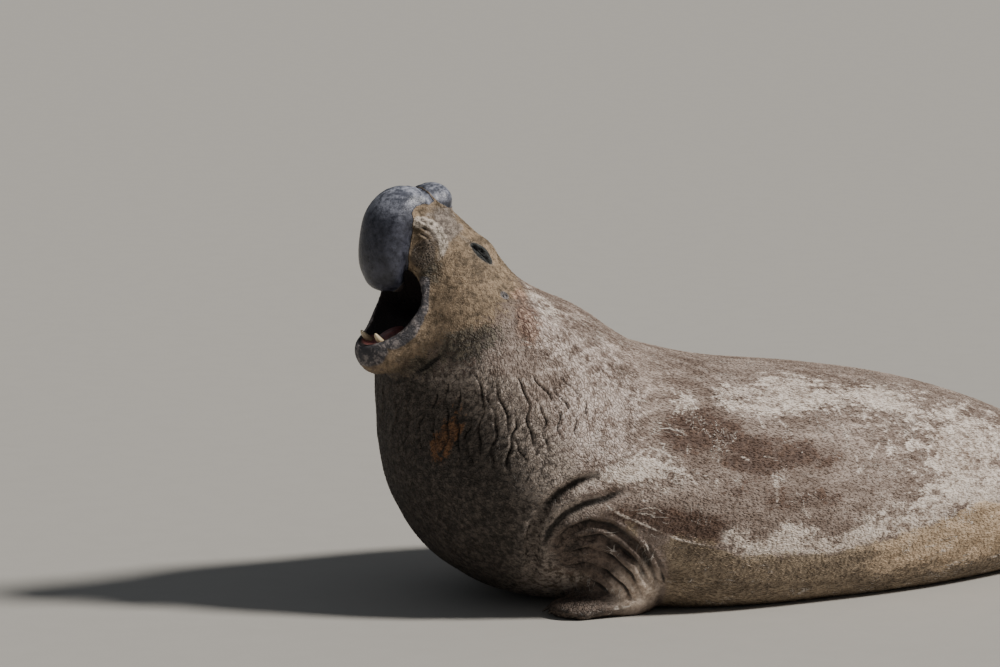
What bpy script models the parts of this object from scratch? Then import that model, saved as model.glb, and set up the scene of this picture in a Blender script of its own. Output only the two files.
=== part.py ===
"""Adult male elephant seal, life size, reared up on its fore flippers and roaring.

The flesh is one clay-like form: every muscle mass is a swept or rounded form, the forms are blended,
and the mouth is cut out of them. It is shaped straight and even-sided, then the head is turned and the
hind part is bent, it is stood on the floor, and it is parted into its pieces. Metres, Z up, head to -X.
"""
import math

import bmesh
import bpy
import numpy as np
from mathutils import Matrix, Vector

for old in list(bpy.data.objects):
    bpy.data.objects.remove(old, do_unlink=True)

GAP = 0.0003                # clearance between pieces that touch
SHIFT = Vector((-1.199, -0.060, 0.0))   # puts the middle of the whole seal over the origin

HEAD_TURN = math.radians(15)         # head turned to its left, about a standing line in the neck
TURN_X = 0.02
TURN_FROM_Z = 0.45
TURN_TO_Z = 0.85
TURN_FRONT_X = 0.25                  # ahead of this the turn is whole, behind TURN_BACK_X there is none
TURN_BACK_X = 0.75
BEND_FROM_X = 0.80                   # behind this the trunk bends away to the right
BEND_PER_M = math.radians(11)

SKIN_TRIANGLES = 8600
FINE_STEP = 0.011                    # spacing of the measuring grid at the head and the flippers
COARSE_STEP = 0.024                  # and on the trunk

# Stations of the body, tail to nape: x, z, half height, half width, fullness of the underside.
BODY = (
    (2.66, 0.150, 0.065, 0.065, 0.0),
    (2.46, 0.155, 0.105, 0.125, 0.2),
    (2.18, 0.190, 0.168, 0.210, 0.6),
    (1.88, 0.232, 0.240, 0.315, 1.0),
    (1.58, 0.288, 0.312, 0.415, 1.3),
    (1.28, 0.328, 0.368, 0.505, 1.4),
    (0.95, 0.355, 0.400, 0.570, 1.5),
    (0.56, 0.380, 0.420, 0.620, 1.7),
    (0.22, 0.430, 0.455, 0.580, 0.3),
    (-0.020, 0.490, 0.455, 0.530, 0.0),
    (-0.12, 0.690, 0.395, 0.460, 0.0),
    (-0.19, 0.820, 0.340, 0.395, 0.0),
    (-0.245, 0.930, 0.270, 0.315, 0.0),
    (-0.275, 1.010, 0.215, 0.250, 0.0),
)
SKULL = (
    (-0.245, 0.94, 0.235, 0.265, 0.0),
    (-0.285, 1.08, 0.182, 0.200, 0.0),
    (-0.335, 1.19, 0.138, 0.158, 0.0),
    (-0.395, 1.285, 0.105, 0.122, 0.0),
    (-0.435, 1.335, 0.080, 0.100, 0.0),
)
NOSE_LOBE = (
    (-0.43, 1.345, 0.072, 0.088, 0.0),
    (-0.498, 1.375, 0.072, 0.098, 0.0),
    (-0.548, 1.335, 0.078, 0.102, 0.0),
    (-0.568, 1.265, 0.078, 0.103, 0.0),
    (-0.575, 1.200, 0.075, 0.098, 0.0),
    (-0.572, 1.155, 0.062, 0.084, 0.0),
)
JAW = (
    (-0.36, 0.985, 0.130, 0.185, 0.0),
    (-0.48, 0.932, 0.112, 0.138, 0.0),
    (-0.57, 0.893, 0.088, 0.104, 0.0),
    (-0.618, 0.893, 0.056, 0.072, 0.0),
)
CHEEKS = (
    (-0.470, 0.940, 0.085, 0.128, 0.0),
    (-0.440, 1.060, 0.090, 0.132, 0.0),
    (-0.430, 1.160, 0.085, 0.122, 0.0),
)
GAPE = (
    (-0.68, 1.070, 0.150, 0.135, 0.0),
    (-0.60, 1.070, 0.142, 0.135, 0.0),
    (-0.52, 1.070, 0.098, 0.125, 0.0),
    (-0.44, 1.055, 0.060, 0.095, 0.0),
    (-0.38, 1.035, 0.026, 0.050, 0.0),
)
# The left lip, from under the whisker pad to the chin, and the roll of skin over the pad: x, y, z and radii.
LIP = (
    (-0.466, -0.106, 1.165, 0.016, 0.016),
    (-0.480, -0.116, 1.120, 0.016, 0.016),
    (-0.487, -0.120, 1.079, 0.017, 0.017),
    (-0.498, -0.121, 1.040, 0.019, 0.019),
    (-0.522, -0.116, 0.996, 0.021, 0.021),
    (-0.548, -0.106, 0.957, 0.021, 0.021),
    (-0.585, -0.082, 0.928, 0.021, 0.021),
    (-0.622, -0.045, 0.914, 0.021, 0.021),
)
PAD_ROLL = (
    (-0.510, -0.088, 1.334, 0.014, 0.014),
    (-0.463, -0.100, 1.322, 0.018, 0.018),
    (-0.430, -0.112, 1.292, 0.020, 0.020),
    (-0.420, -0.120, 1.246, 0.019, 0.019),
    (-0.438, -0.118, 1.190, 0.016, 0.016),
)
# Rounded masses and hollows of the left side of the head: middle, radii, tilt in degrees and how far it blends.
CHEEK = ((-0.345, -0.110, 1.12), (0.095, 0.085, 0.13), 30, 0.06)
BROW = ((-0.258, -0.102, 1.215), (0.062, 0.046, 0.045), 40, 0.035)
WHISKER_PAD = ((-0.464, -0.082, 1.252), (0.062, 0.052, 0.086), 20, 0.03)
PAD_HOLLOW = ((-0.520, -0.124, 1.246), (0.024, 0.022, 0.036), 20, 0.02)
NOSE_HUMP = ((-0.378, 0.0, 1.393), (0.060, 0.088, 0.058), 0, 0.025)
NOSE_TIP = ((-0.536, -0.036, 1.118), (0.028, 0.030, 0.028), 0, 0.016)
NOSTRIL = ((-0.508, -0.036, 1.132), (0.026, 0.012, 0.013), 40, 0.008)
# The fold under the chin: its middle in x and z, its radius, and how fast it moves back, rises and thins sideways.
CHIN_FOLD = (-0.568, 0.795, 0.014, 1.0, 2.2, 0.30)
# The deep fold between the chest and the arm, and two folds over the arm.
ARM_FOLDS = (
    ((0.071, -0.560, 0.510, 0.008, 0.008), (-0.055, -0.540, 0.441, 0.016, 0.016), (-0.127, -0.489, 0.336, 0.018, 0.018),
     (-0.115, -0.417, 0.190, 0.016, 0.016), (-0.090, -0.350, 0.100, 0.010, 0.010)),
    ((-0.061, -0.480, 0.261, 0.006, 0.006), (0.048, -0.545, 0.342, 0.010, 0.010), (0.167, -0.562, 0.296, 0.010, 0.010),
     (0.263, -0.562, 0.171, 0.009, 0.009), (0.307, -0.515, 0.091, 0.006, 0.006)),
    ((0.007, -0.510, 0.270, 0.005, 0.005), (0.120, -0.542, 0.272, 0.009, 0.009), (0.220, -0.560, 0.191, 0.009, 0.009),
     (0.275, -0.532, 0.104, 0.006, 0.006)),
)

# The left fore flipper: x, y, z, half breadth, half thickness.
ARM = (
    (0.31, -0.43, 0.37, 0.145, 0.145),
    (0.26, -0.425, 0.23, 0.145, 0.135),
    (0.215, -0.405, 0.09, 0.125, 0.10),
)
PALM = (
    (0.225, -0.400, 0.055, 0.098, 0.060),
    (0.13, -0.405, 0.038, 0.105, 0.046),
    (0.05, -0.410, 0.028, 0.100, 0.038),
)
FORE_TIPS = ((0.008, -0.325), (-0.022, -0.364), (-0.018, -0.408), (0.004, -0.450), (0.042, -0.486))
FORE_Y = -0.405
FORE_DIGIT = (0.028, 0.020)          # radius at the palm and at the tip

# The left hind flipper: it lies on its outer edge.
ANKLE = np.array((2.56, -0.070, 0.135))
HIND_ALONG = np.array((0.970, -0.235, -0.040))
HIND_ROLL = math.radians(38)
HIND_TIPS = ((0.44, -0.150), (0.375, -0.080), (0.345, 0.0), (0.375, 0.080), (0.46, 0.165))
HIND_DIGIT = (0.036, 0.018)
HIND_THIN = 0.65                     # digit thickness as a share of its breadth
TAIL = ((2.60, 0, 0.172, 0.06, 0.036), (2.79, 0, 0.160, 0.032, 0.018))

# Set-in pieces of the left side, before the head is turned: root and tip, or middle and radii.
EYE = Vector((-0.274, -0.134, 1.219))
EYE_RADIUS = 0.030
LID_OPENING = (0.034, 0.030, 0.011)
LID_TILT = math.radians(40)
EAR = Vector((-0.250, -0.250, 1.088))
EAR_CUP = (0.008, 0.014, 0.006)
CANINE = (Vector((-0.582, -0.040, 0.910)), Vector((-0.634, -0.045, 0.962)), 0.0145)
TONGUE = Vector((-0.548, 0.0, 0.940))
TONGUE_RADII = (0.062, 0.034, 0.020)
TONGUE_TILT = math.radians(-24)
TOOTH_BOW = Vector((-0.004, 0, 0))
CLAW_BOW = Vector((0, 0, 0.006))
CLAW_RADIUS = 0.0085
CLAW_ROOT = 0.022                    # how far the claw's root sits behind the tip of the digit
CLAW_REACH = 0.038
CLAW_ROOT_Z = 0.032
CLAW_TIP_Z = 0.011

SLATE = (0.050, 0.050, 0.060)
FACE = (0.270, 0.195, 0.130)
SHIELD = (0.120, 0.085, 0.068)
FLANK = (0.190, 0.145, 0.120)
PALE = (0.300, 0.240, 0.205)
LIMB = (0.130, 0.100, 0.085)


def smooth_union(a, b, blend):
    share = np.maximum(blend - np.abs(a - b), 0) / blend
    return np.minimum(a, b) - share * share * blend / 4


def smooth_cut(a, b, blend):
    return -smooth_union(-a, b, blend)


def eased(stations, steps):
    """The stations joined by a smooth curve, with steps rows to each span."""
    rows = np.array(stations, float)
    rows = np.vstack([2 * rows[0] - rows[1], rows, 2 * rows[-1] - rows[-2]])
    out = []
    for before, start, end, after in zip(rows, rows[1:], rows[2:], rows[3:]):
        for t in np.linspace(0, 1, steps, endpoint=False):
            out.append(0.5 * (2 * start + (end - before) * t + (2 * before - 5 * start + 4 * end - after) * t ** 2
                              + (3 * start - before - 3 * end + after) * t ** 3))
    out.append(rows[-2])
    return np.array(out)


def middle_form(p, stations, steps=4):
    """A form on the middle plane."""
    best = np.full(len(p), 9.0)
    rows = eased(stations, steps)
    flat = p[:, ::2]
    for start, end in zip(rows, rows[1:]):
        along = end[:2] - start[:2]
        t = np.clip((flat - start[:2]) @ along / (along @ along), 0, 1)
        depth = start[2] + t * (end[2] - start[2])
        width = start[3] + t * (end[3] - start[3])
        off = flat - start[:2] - t[:, None] * along
        rise = np.hypot(off[:, 0], off[:, 1])
        side = np.abs(p[:, 1]) * depth / width
        full = start[4] + t * (end[4] - start[4])
        power = 2 + full * np.clip(-off[:, 1] / depth, 0, 1)
        far = (rise ** power + side ** power + 1e-12) ** (1 / power) - depth
        np.minimum(best, far, out=best)
    return best


def limb_form(p, stations, thin_way, steps=2):
    """A form anywhere, thinner along thin_way."""
    way = np.array(thin_way, float)
    way /= np.linalg.norm(way)
    best = np.full(len(p), 9.0)
    rows = eased(stations, steps)
    for start, end in zip(rows, rows[1:]):
        along = end[:3] - start[:3]
        t = np.clip((p - start[:3]) @ along / (along @ along), 0, 1)
        broad = start[3] + t * (end[3] - start[3])
        thick = start[4] + t * (end[4] - start[4])
        off = p - start[:3] - t[:, None] * along
        across = off @ way
        level = np.sqrt(np.maximum((off * off).sum(1) - across ** 2, 0))
        length = np.hypot(level, across * broad / thick)
        far = (length - broad) * np.sqrt(thick / broad)
        np.minimum(best, far, out=best)
    return best


def ball(p, centre, radii, tilt=0.0):
    """An ellipsoid; tilt turns it in the side plane, in degrees."""
    turn = math.radians(tilt)
    off = p - np.array(centre)
    along = off[:, 0] * math.cos(turn) - off[:, 2] * math.sin(turn)
    rise = off[:, 0] * math.sin(turn) + off[:, 2] * math.cos(turn)
    q = np.stack([along, off[:, 1], rise], 1) / radii
    k = np.sqrt((q * q).sum(1))
    slope = np.sqrt((q * q / np.square(radii)).sum(1)) + 1e-9
    return k * (k - 1) / slope


def within(p, low, high):
    return ((p > low) & (p < high)).all(1)


def head_forms(p, f):
    f = smooth_union(f, middle_form(p, SKULL), 0.05)
    for centre, radii, tilt, blend in (CHEEK, BROW, WHISKER_PAD):
        f = smooth_union(f, ball(p, centre, radii, tilt), blend)
    f = smooth_union(f, middle_form(p, JAW), 0.03)
    f = smooth_union(f, middle_form(p, CHEEKS), 0.05)
    f = smooth_union(f, limb_form(p, LIP, (0, 1, 0)), 0.025)
    f = smooth_cut(f, middle_form(p, GAPE), 0.010)
    f = smooth_union(f, middle_form(p, NOSE_LOBE), 0.015)
    f = smooth_union(f, ball(p, *NOSE_HUMP[:3]), NOSE_HUMP[3])
    f = smooth_union(f, limb_form(p, PAD_ROLL, (0, 1, 0)), 0.03)
    f = smooth_cut(f, ball(p, *PAD_HOLLOW[:3]), PAD_HOLLOW[3])
    f = smooth_union(f, ball(p, *NOSE_TIP[:3]), NOSE_TIP[3])
    f = smooth_cut(f, ball(p, *NOSTRIL[:3]), NOSTRIL[3])
    x, z, radius, back, rise, thinner = CHIN_FOLD
    aside = np.abs(p[:, 1])
    fold = np.hypot(p[:, 0] - x - back * aside ** 2, p[:, 2] - z - rise * aside ** 2) - radius + thinner * aside ** 2
    return smooth_cut(f, fold, 0.03)


def fore_forms(p, f):
    f = smooth_union(f, limb_form(p, ARM, (0, 1, 0)), 0.045)
    hand = limb_form(p, PALM, (0, 0, 1))
    for x, y in FORE_TIPS:
        root_y = FORE_Y + (y - FORE_Y) * 0.6
        root = (0.13, root_y, 0.038, FORE_DIGIT[0], FORE_DIGIT[0])
        knuckle = ((x + 0.13) / 2, (y + root_y) / 2, 0.032, FORE_DIGIT[0], FORE_DIGIT[0])
        tip = (x, y, 0.014, FORE_DIGIT[1], FORE_DIGIT[1])
        hand = smooth_union(hand, limb_form(p, (root, knuckle, tip), (0, 0, 1)), 0.014)
    f = smooth_union(f, hand, 0.025)
    for fold in ARM_FOLDS:
        f = smooth_cut(f, limb_form(p, fold, (0, 1, 0)), 0.014)
    return f


def hind_frame():
    along = HIND_ALONG / np.linalg.norm(HIND_ALONG)
    out = np.cross((0, 0, 1), along)
    out /= -np.linalg.norm(out)
    up = np.cross(out, along)
    up *= math.copysign(1, up[2])
    across = out * math.cos(HIND_ROLL) - up * math.sin(HIND_ROLL)
    return along, across, np.cross(along, across)


def hind_forms(p, f):
    along, across, thin = hind_frame()
    heel = ((2.40, -0.045, 0.145, 0.085, 0.065), tuple(ANKLE) + (0.062, 0.045),
            tuple(ANKLE + along * 0.10) + (0.070, 0.034))
    foot = limb_form(p, heel, thin)
    points = []
    for reach, spread in HIND_TIPS:
        root = ANKLE + along * 0.05 + across * spread * 0.28
        tip = ANKLE + along * reach + across * spread
        points.append((root, tip))
        mid = root * 0.5 + tip * 0.5 + across * spread * 0.10
        stations = (tuple(root) + (HIND_DIGIT[0], HIND_DIGIT[0] * HIND_THIN),
                    tuple(mid) + (HIND_DIGIT[0] * 0.9, HIND_DIGIT[0] * HIND_THIN * 0.8),
                    tuple(tip) + (HIND_DIGIT[1], HIND_DIGIT[1] * HIND_THIN))
        foot = smooth_union(foot, limb_form(p, stations, thin), 0.016)
    for (root, tip), (next_root, next_tip) in zip(points, points[1:]):
        start = (root + next_root) / 2
        end = start + ((tip + next_tip) / 2 - start) * 0.80
        web = limb_form(p, (tuple(start) + (0.042, 0.013), tuple(end) + (0.038, 0.011)), thin)
        foot = smooth_union(foot, web, 0.012)
    f = smooth_union(f, foot, 0.04)
    return smooth_union(f, limb_form(p, TAIL, (0, 0, 1)), 0.035)


def seal_form(points):
    p = points.copy()
    p[:, 1] = -np.abs(p[:, 1])
    f = middle_form(p, BODY)
    f = smooth_union(f, ball(p, (0.08, 0.0, 0.66), (0.30, 0.42, 0.33)), 0.08)
    for forms, low, high in ((head_forms, (-0.9, -0.5, 0.70), (0.2, 0.1, 1.6)),
                             (fore_forms, (-0.25, -0.8, -0.2), (0.7, -0.1, 0.7)),
                             (hind_forms, (2.2, -0.6, -0.2), (3.2, 0.1, 0.5))):
        at = within(p, low, high)
        if at.any():
            f[at] = forms(p[at], f[at])
    return f


def spaced(*marks):
    """Grid lines: marks are the start and the spacing of each stretch, then the end."""
    lines = [np.linspace(start, end, max(1, round((end - start) / step)), endpoint=False)
             for (start, step), (end, _) in zip(marks, marks[1:])]
    return np.concatenate(lines + [[marks[-1][0]]])


def untangled(value):
    """Fills the grid corners where the surface would touch itself along an edge."""
    tangled = True
    while tangled:
        tangled = False
        inside = value < 0
        for a, b in ((0, 1), (1, 2), (0, 2)):
            corners = []
            for high_a, high_b in ((0, 0), (1, 1), (0, 1), (1, 0)):
                cut = [slice(None)] * 3
                cut[a] = slice(1, None) if high_a else slice(0, -1)
                cut[b] = slice(1, None) if high_b else slice(0, -1)
                corners.append(tuple(cut))
            near, far, one, other = [inside[c] for c in corners]
            crossed = (near == far) & (one == other) & (near != one)
            if crossed.any():
                tangled = True
                for corner in corners:
                    value[corner][crossed] = np.minimum(value[corner][crossed], -0.0005)
    return value


def wrapped(form, xs, ys, zs, block=5):
    """Points and four-sided faces round a form, one point to each grid cell its surface passes through."""
    lines = (xs, ys, zs)
    shape = tuple(len(a) for a in lines)
    starts = [np.arange(0, n, block) for n in shape]
    middles = [a[np.minimum(s + block // 2, len(a) - 1)] for a, s in zip(lines, starts)]
    rough = form(np.stack(np.meshgrid(*middles, indexing="ij"), -1).reshape(-1, 3))
    rough = rough.reshape([len(s) for s in starts])
    sizes = [np.diff(np.append(a[s], a[-1] + 1e-6)) for a, s in zip(lines, starts)]
    reach = np.sqrt(sizes[0][:, None, None] ** 2 + sizes[1][None, :, None] ** 2 + sizes[2][None, None, :] ** 2)
    near = np.abs(rough) < reach + 0.01
    value = rough
    for axis in range(3):
        near = np.repeat(near, block, axis)
        value = np.repeat(value, block, axis)
    near = near[:shape[0], :shape[1], :shape[2]]
    value = value[:shape[0], :shape[1], :shape[2]].copy()
    at = np.argwhere(near)
    value[near] = form(np.stack([a[at[:, i]] for i, a in enumerate(lines)], 1))
    value = untangled(value)
    inside = value < 0
    total = np.zeros(shape + (3,))
    count = np.zeros(shape, int)
    edges = []
    for axis in range(3):
        low = [slice(None)] * 3
        high = [slice(None)] * 3
        low[axis] = slice(0, -1)
        high[axis] = slice(1, None)
        edge = np.argwhere(inside[tuple(low)] != inside[tuple(high)])
        step = np.eye(3, dtype=int)[axis]
        first = value[tuple(edge.T)]
        second = value[tuple((edge + step).T)]
        spot = np.stack([a[edge[:, i]] for i, a in enumerate(lines)], 1)
        spot[:, axis] += first / (first - second) * (lines[axis][edge[:, axis] + 1] - lines[axis][edge[:, axis]])
        edges.append((axis, edge, first < 0))
        for back_b in (0, 1):
            for back_c in (0, 1):
                cell = edge - back_b * np.roll(np.eye(3, dtype=int)[axis], 1) - back_c * np.roll(step, 2)
                np.add.at(total, tuple(cell.T), spot)
                np.add.at(count, tuple(cell.T), 1)
    used = np.argwhere(count > 0)
    number = np.full(shape, -1)
    number[tuple(used.T)] = np.arange(len(used))
    points = total[tuple(used.T)] / count[tuple(used.T)][:, None]
    faces = []
    for axis, edge, outward in edges:
        b = np.roll(np.eye(3, dtype=int)[axis], 1)
        c = np.roll(np.eye(3, dtype=int)[axis], 2)
        corners = np.stack([number[tuple((edge - m * b - n * c).T)] for m, n in ((0, 0), (1, 0), (1, 1), (0, 1))], 1)
        corners[~outward] = corners[~outward][:, ::-1]
        faces.append(corners)
    return points, np.concatenate(faces)


def settled(form, points, rounds=2):
    """The points moved on to the surface of the form."""
    reach = 0.001
    for _ in range(rounds):
        value = form(points)
        slope = np.stack([form(points + d) - form(points - d) for d in np.eye(3) * reach], 1) / (2 * reach)
        step = slope * (value / ((slope * slope).sum(1) + 1e-6))[:, None]
        size = np.linalg.norm(step, axis=1)
        points = points - step * np.minimum(1, 0.008 / np.maximum(size, 1e-9))[:, None]
    return points


def smoothed(points, faces, rounds, share):
    """Each point drawn towards the middle of its neighbours, by its own share."""
    ends = np.concatenate([faces[:, [0, 1]], faces[:, [1, 2]], faces[:, [2, 3]], faces[:, [3, 0]]])
    number = np.bincount(ends[:, 0], minlength=len(points))[:, None]
    for _ in range(rounds):
        total = np.stack([np.bincount(ends[:, 0], points[ends[:, 1], i], len(points)) for i in range(3)], 1)
        points = points + (total / number - points) * share[:, None]
    return points


def ease(t):
    t = np.clip(t, 0, 1)
    return t * t * (3 - 2 * t)


def posed(points):
    """The head turned and the hind part bent."""
    x, y, z = points.T
    share = ease((z - TURN_FROM_Z) / (TURN_TO_Z - TURN_FROM_Z)) * ease((TURN_BACK_X - x) / (TURN_BACK_X - TURN_FRONT_X))
    turn = HEAD_TURN * share
    off = x - TURN_X
    turned_x = TURN_X + off * np.cos(turn) - y * np.sin(turn)
    turned_y = off * np.sin(turn) + y * np.cos(turn)
    past = np.maximum(x - BEND_FROM_X, 0)
    bend = past * BEND_PER_M
    line_x = np.sin(bend) / BEND_PER_M
    line_y = (1 - np.cos(bend)) / BEND_PER_M
    bent_x = BEND_FROM_X + line_x - y * np.sin(bend)
    bent_y = line_y + y * np.cos(bend)
    behind = past > 0
    return np.stack([np.where(behind, bent_x, turned_x), np.where(behind, bent_y, turned_y), z], 1)


def spine_place(along):
    """Where a spot on the straight spine has gone, turned with the bend."""
    bend = max(along - BEND_FROM_X, 0) * BEND_PER_M
    spot = posed(np.array([[along, 0.0, 0.0]]))[0]
    return Matrix.Translation(spot) @ Matrix.Rotation(bend, 4, "Z")


def material(name, colour, roughness):
    made = bpy.data.materials.new(name)
    made.use_nodes = True
    shader = made.node_tree.nodes["Principled BSDF"]
    shader.inputs["Base Color"].default_value = (*colour, 1.0)
    shader.inputs["Roughness"].default_value = roughness
    shader.inputs["Metallic"].default_value = 0.0
    made.diffuse_color = (*colour, 1.0)
    return made


def placed(name, mesh):
    thing = bpy.data.objects.new(name, mesh)
    bpy.context.scene.collection.objects.link(thing)
    return thing


def meshed(name, points, faces):
    mesh = bpy.data.meshes.new(name)
    mesh.from_pydata([tuple(p) for p in points], [], [tuple(int(i) for i in f) for f in faces])
    mesh.update()
    return placed(name, mesh)


def settle_steps(thing):
    """The thing's mesh with its steps worked in."""
    bpy.context.view_layer.update()
    mesh = bpy.data.meshes.new_from_object(thing.evaluated_get(bpy.context.evaluated_depsgraph_get()))
    thing.modifiers.clear()
    thing.data = mesh
    return thing


def worked(thing, tool, operation):
    step = thing.modifiers.new(operation.lower(), "BOOLEAN")
    step.operation = operation
    step.solver = "EXACT"
    step.object = tool
    return settle_steps(thing)


def copied(thing, name):
    return placed(name, thing.data.copy())


def prism(name, outline, low_y, high_y, place=Matrix.Identity(4)):
    """A block with its outline in x and z."""
    near = [place @ Vector((x, low_y, z)) for x, z in outline]
    far = [place @ Vector((x, high_y, z)) for x, z in outline]
    count = len(outline)
    sides = [(i, (i + 1) % count, (i + 1) % count + count, i + count) for i in range(count)]
    block = meshed(name, near + far, [tuple(range(count))[::-1], tuple(range(count, 2 * count))] + sides)
    shell = bmesh.new()
    shell.from_mesh(block.data)
    bmesh.ops.recalc_face_normals(shell, faces=shell.faces)
    shell.to_mesh(block.data)
    shell.free()
    return block


def grown(outline, by):
    """The outline with every side moved out."""
    area = sum(a[0] * b[1] - b[0] * a[1] for a, b in zip(outline, outline[1:] + outline[:1]))
    out = []
    for before, here, after in zip(outline[-1:] + outline[:-1], outline, outline[1:] + outline[:1]):
        sides = []
        for start, end in ((before, here), (here, after)):
            way = (Vector(end) - Vector(start)).normalized()
            sides.append(Vector((way.y, -way.x)) * math.copysign(1, area))
        lean = (sides[0] + sides[1]).normalized()
        out.append(tuple(Vector(here) + lean * by / lean.dot(sides[0])))
    return out


def beyond(name, spot, way, back):
    """A block that fills everything past a plane."""
    size = 6.0
    way = Vector(way).normalized()
    block = bmesh.new()
    bmesh.ops.create_cube(block, size=size)
    mesh = bpy.data.meshes.new(name)
    place = Matrix.Translation(Vector(spot) + way * (size / 2 + back)) @ way.to_track_quat("Z", "Y").to_matrix().to_4x4()
    bmesh.ops.transform(block, matrix=place, verts=block.verts)
    block.to_mesh(mesh)
    block.free()
    return placed(name, mesh)


def taken(whole, name, block, block_grown):
    """Takes the part of the whole that lies in a block."""
    piece = worked(copied(whole, name), block, "INTERSECT")
    worked(whole, block_grown, "DIFFERENCE")
    bpy.data.objects.remove(block)
    bpy.data.objects.remove(block_grown)
    return piece


def split(whole, name, spot, way):
    """Takes the part of the whole on the far side of a plane."""
    keep_off = beyond(name + "_far", spot, [-c for c in way], -GAP / 2)
    piece = worked(copied(whole, name), keep_off, "DIFFERENCE")
    cut_off = beyond(name + "_near", spot, way, -GAP / 2)
    worked(whole, cut_off, "DIFFERENCE")
    bpy.data.objects.remove(keep_off)
    bpy.data.objects.remove(cut_off)
    return piece


def oval(name, centre, radii, tilt, place, grow=0.0, rings=10, around=14):
    """An egg shape, tilted in the side plane."""
    egg = bmesh.new()
    bmesh.ops.create_uvsphere(egg, u_segments=around, v_segments=rings, radius=1.0)
    sized = Matrix.Diagonal((*(r + grow for r in radii), 1.0))
    bmesh.ops.transform(egg, matrix=place @ Matrix.Translation(centre) @ Matrix.Rotation(tilt, 4, "Y") @ sized,
                        verts=egg.verts)
    mesh = bpy.data.meshes.new(name)
    egg.to_mesh(mesh)
    egg.free()
    return placed(name, mesh)


def horn(name, root, tip, bow, radius, place, grow=0.0, rings=5, sides=8):
    """A tooth or a claw: a bowed cone from its root to its rounded tip."""
    way = (tip - root).normalized()
    root = root - way * grow
    tip = tip + way * grow
    across = way.cross(Vector((0, 1, 0))).normalized()
    other = way.cross(across)
    points = []
    for i in range(rings):
        t = i / (rings - 1)
        middle = root.lerp(tip, t * 0.94) + bow * (4 * t * (1 - t))
        size = radius * (1 - t) ** 0.6 + radius * 0.22 * t + grow
        for k in range(sides):
            turn = 2 * math.pi * k / sides
            points.append(place @ (middle + (across * math.cos(turn) + other * math.sin(turn)) * size))
    points.append(place @ tip)
    faces = [tuple(range(sides))]
    for i in range(rings - 1):
        for k in range(sides):
            a, b = i * sides + k, i * sides + (k + 1) % sides
            faces.append((a, a + sides, b + sides, b))
    last = (rings - 1) * sides
    faces += [(last + k, len(points) - 1, last + (k + 1) % sides) for k in range(sides)]
    thing = meshed(name, points, faces)
    shell = bmesh.new()
    shell.from_mesh(thing.data)
    bmesh.ops.recalc_face_normals(shell, faces=shell.faces)
    shell.to_mesh(thing.data)
    shell.free()
    return thing


def seated(hosts, maker, *args, **named):
    """A piece set into its hosts, with its clearance cut round it."""
    cutter = maker("seat", *args[1:], grow=GAP, **named)
    for host in hosts:
        worked(host, cutter, "DIFFERENCE")
    bpy.data.objects.remove(cutter)
    return maker(*args, **named)


# The whole form, wrapped, thinned out, posed and stood on the floor.
xs = spaced((-0.80, FINE_STEP), (0.30, COARSE_STEP), (2.35, FINE_STEP), (3.20, None))
ys = spaced((-0.90, COARSE_STEP), (-0.60, FINE_STEP), (0.60, COARSE_STEP), (0.90, None))
zs = spaced((-0.08, FINE_STEP), (0.20, COARSE_STEP), (0.76, FINE_STEP), (1.52, None))
points, faces = wrapped(seal_form, xs, ys, zs)
points = settled(seal_form, points)
x, y, z = points.T
before_rump = ease((2.45 - x) / 0.25)
trunk = ease((x - 0.40) / 0.10) * before_rump
chest = ease((0.98 - z) / 0.20) * ease((z - 0.30) / 0.12) * before_rump
points = posed(smoothed(points, faces, 8, np.maximum(0.10, 0.5 * np.maximum(trunk, chest))))
seal = meshed("seal", points, faces)
thin = seal.modifiers.new("thin", "DECIMATE")
thin.ratio = SKIN_TRIANGLES / (2 * len(faces))
settle_steps(seal)
floor = beyond("floor", (0, 0, 0), (0, 0, -1), 0)
worked(seal, floor, "DIFFERENCE")
bpy.data.objects.remove(floor)

# The flippers, taken off the trunk.
FORE_BOX = ((-0.20, -0.10), (0.42, -0.10), (0.42, 0.20), (-0.20, 0.20))
pieces = {}
for side, sign in (("left", -1), ("right", 1)):
    name = "foreflipper_" + side
    low, high = sorted((sign * 0.300, sign * 0.90))
    grown_low, grown_high = sorted((sign * (0.300 - GAP), sign * 0.90))
    block = prism("block", FORE_BOX, low, high)
    wide = prism("wide_block", grown(list(FORE_BOX), GAP), grown_low, grown_high)
    pieces[name] = taken(seal, name, block, wide)

    # The hind flippers point to one side of the bent rump, so their blocks are turned with it.
    name = "hind_flipper_" + side
    place = spine_place(2.60)
    outline = [(0.0, -0.3), (0.9, -0.3), (0.9, 0.5), (0.0, 0.5)]
    low, high = sorted((sign * 0.030, sign * 0.60))
    grown_low, grown_high = sorted((sign * (0.030 - GAP), sign * 0.60))
    block = prism("block", outline, low, high, place)
    wide = prism("wide_block", grown(outline, GAP), grown_low, grown_high, place)
    pieces[name] = taken(seal, name, block, wide)

# The jaw and the proboscis, taken off the head.
turn_middle = Matrix.Translation((TURN_X, 0, 0))
head_place = turn_middle @ Matrix.Rotation(HEAD_TURN, 4, "Z") @ turn_middle.inverted()
JAW_OUTLINE = [(-0.74, 0.80), (-0.56, 0.805), (-0.46, 0.850), (-0.485, 1.045), (-0.60, 1.060), (-0.74, 1.060)]
NOSE_OUTLINE = [(-0.29, 1.350), (-0.46, 1.312), (-0.505, 1.250), (-0.490, 1.085), (-0.74, 1.070), (-0.74, 1.55),
                (-0.29, 1.55)]
for name, outline in (("lower_jaw", JAW_OUTLINE), ("proboscis", NOSE_OUTLINE)):
    block = prism("block", outline, -0.4, 0.4, head_place)
    wide = prism("wide_block", grown(outline, GAP), -0.4, 0.4, head_place)
    pieces[name] = taken(seal, name, block, wide)

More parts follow.
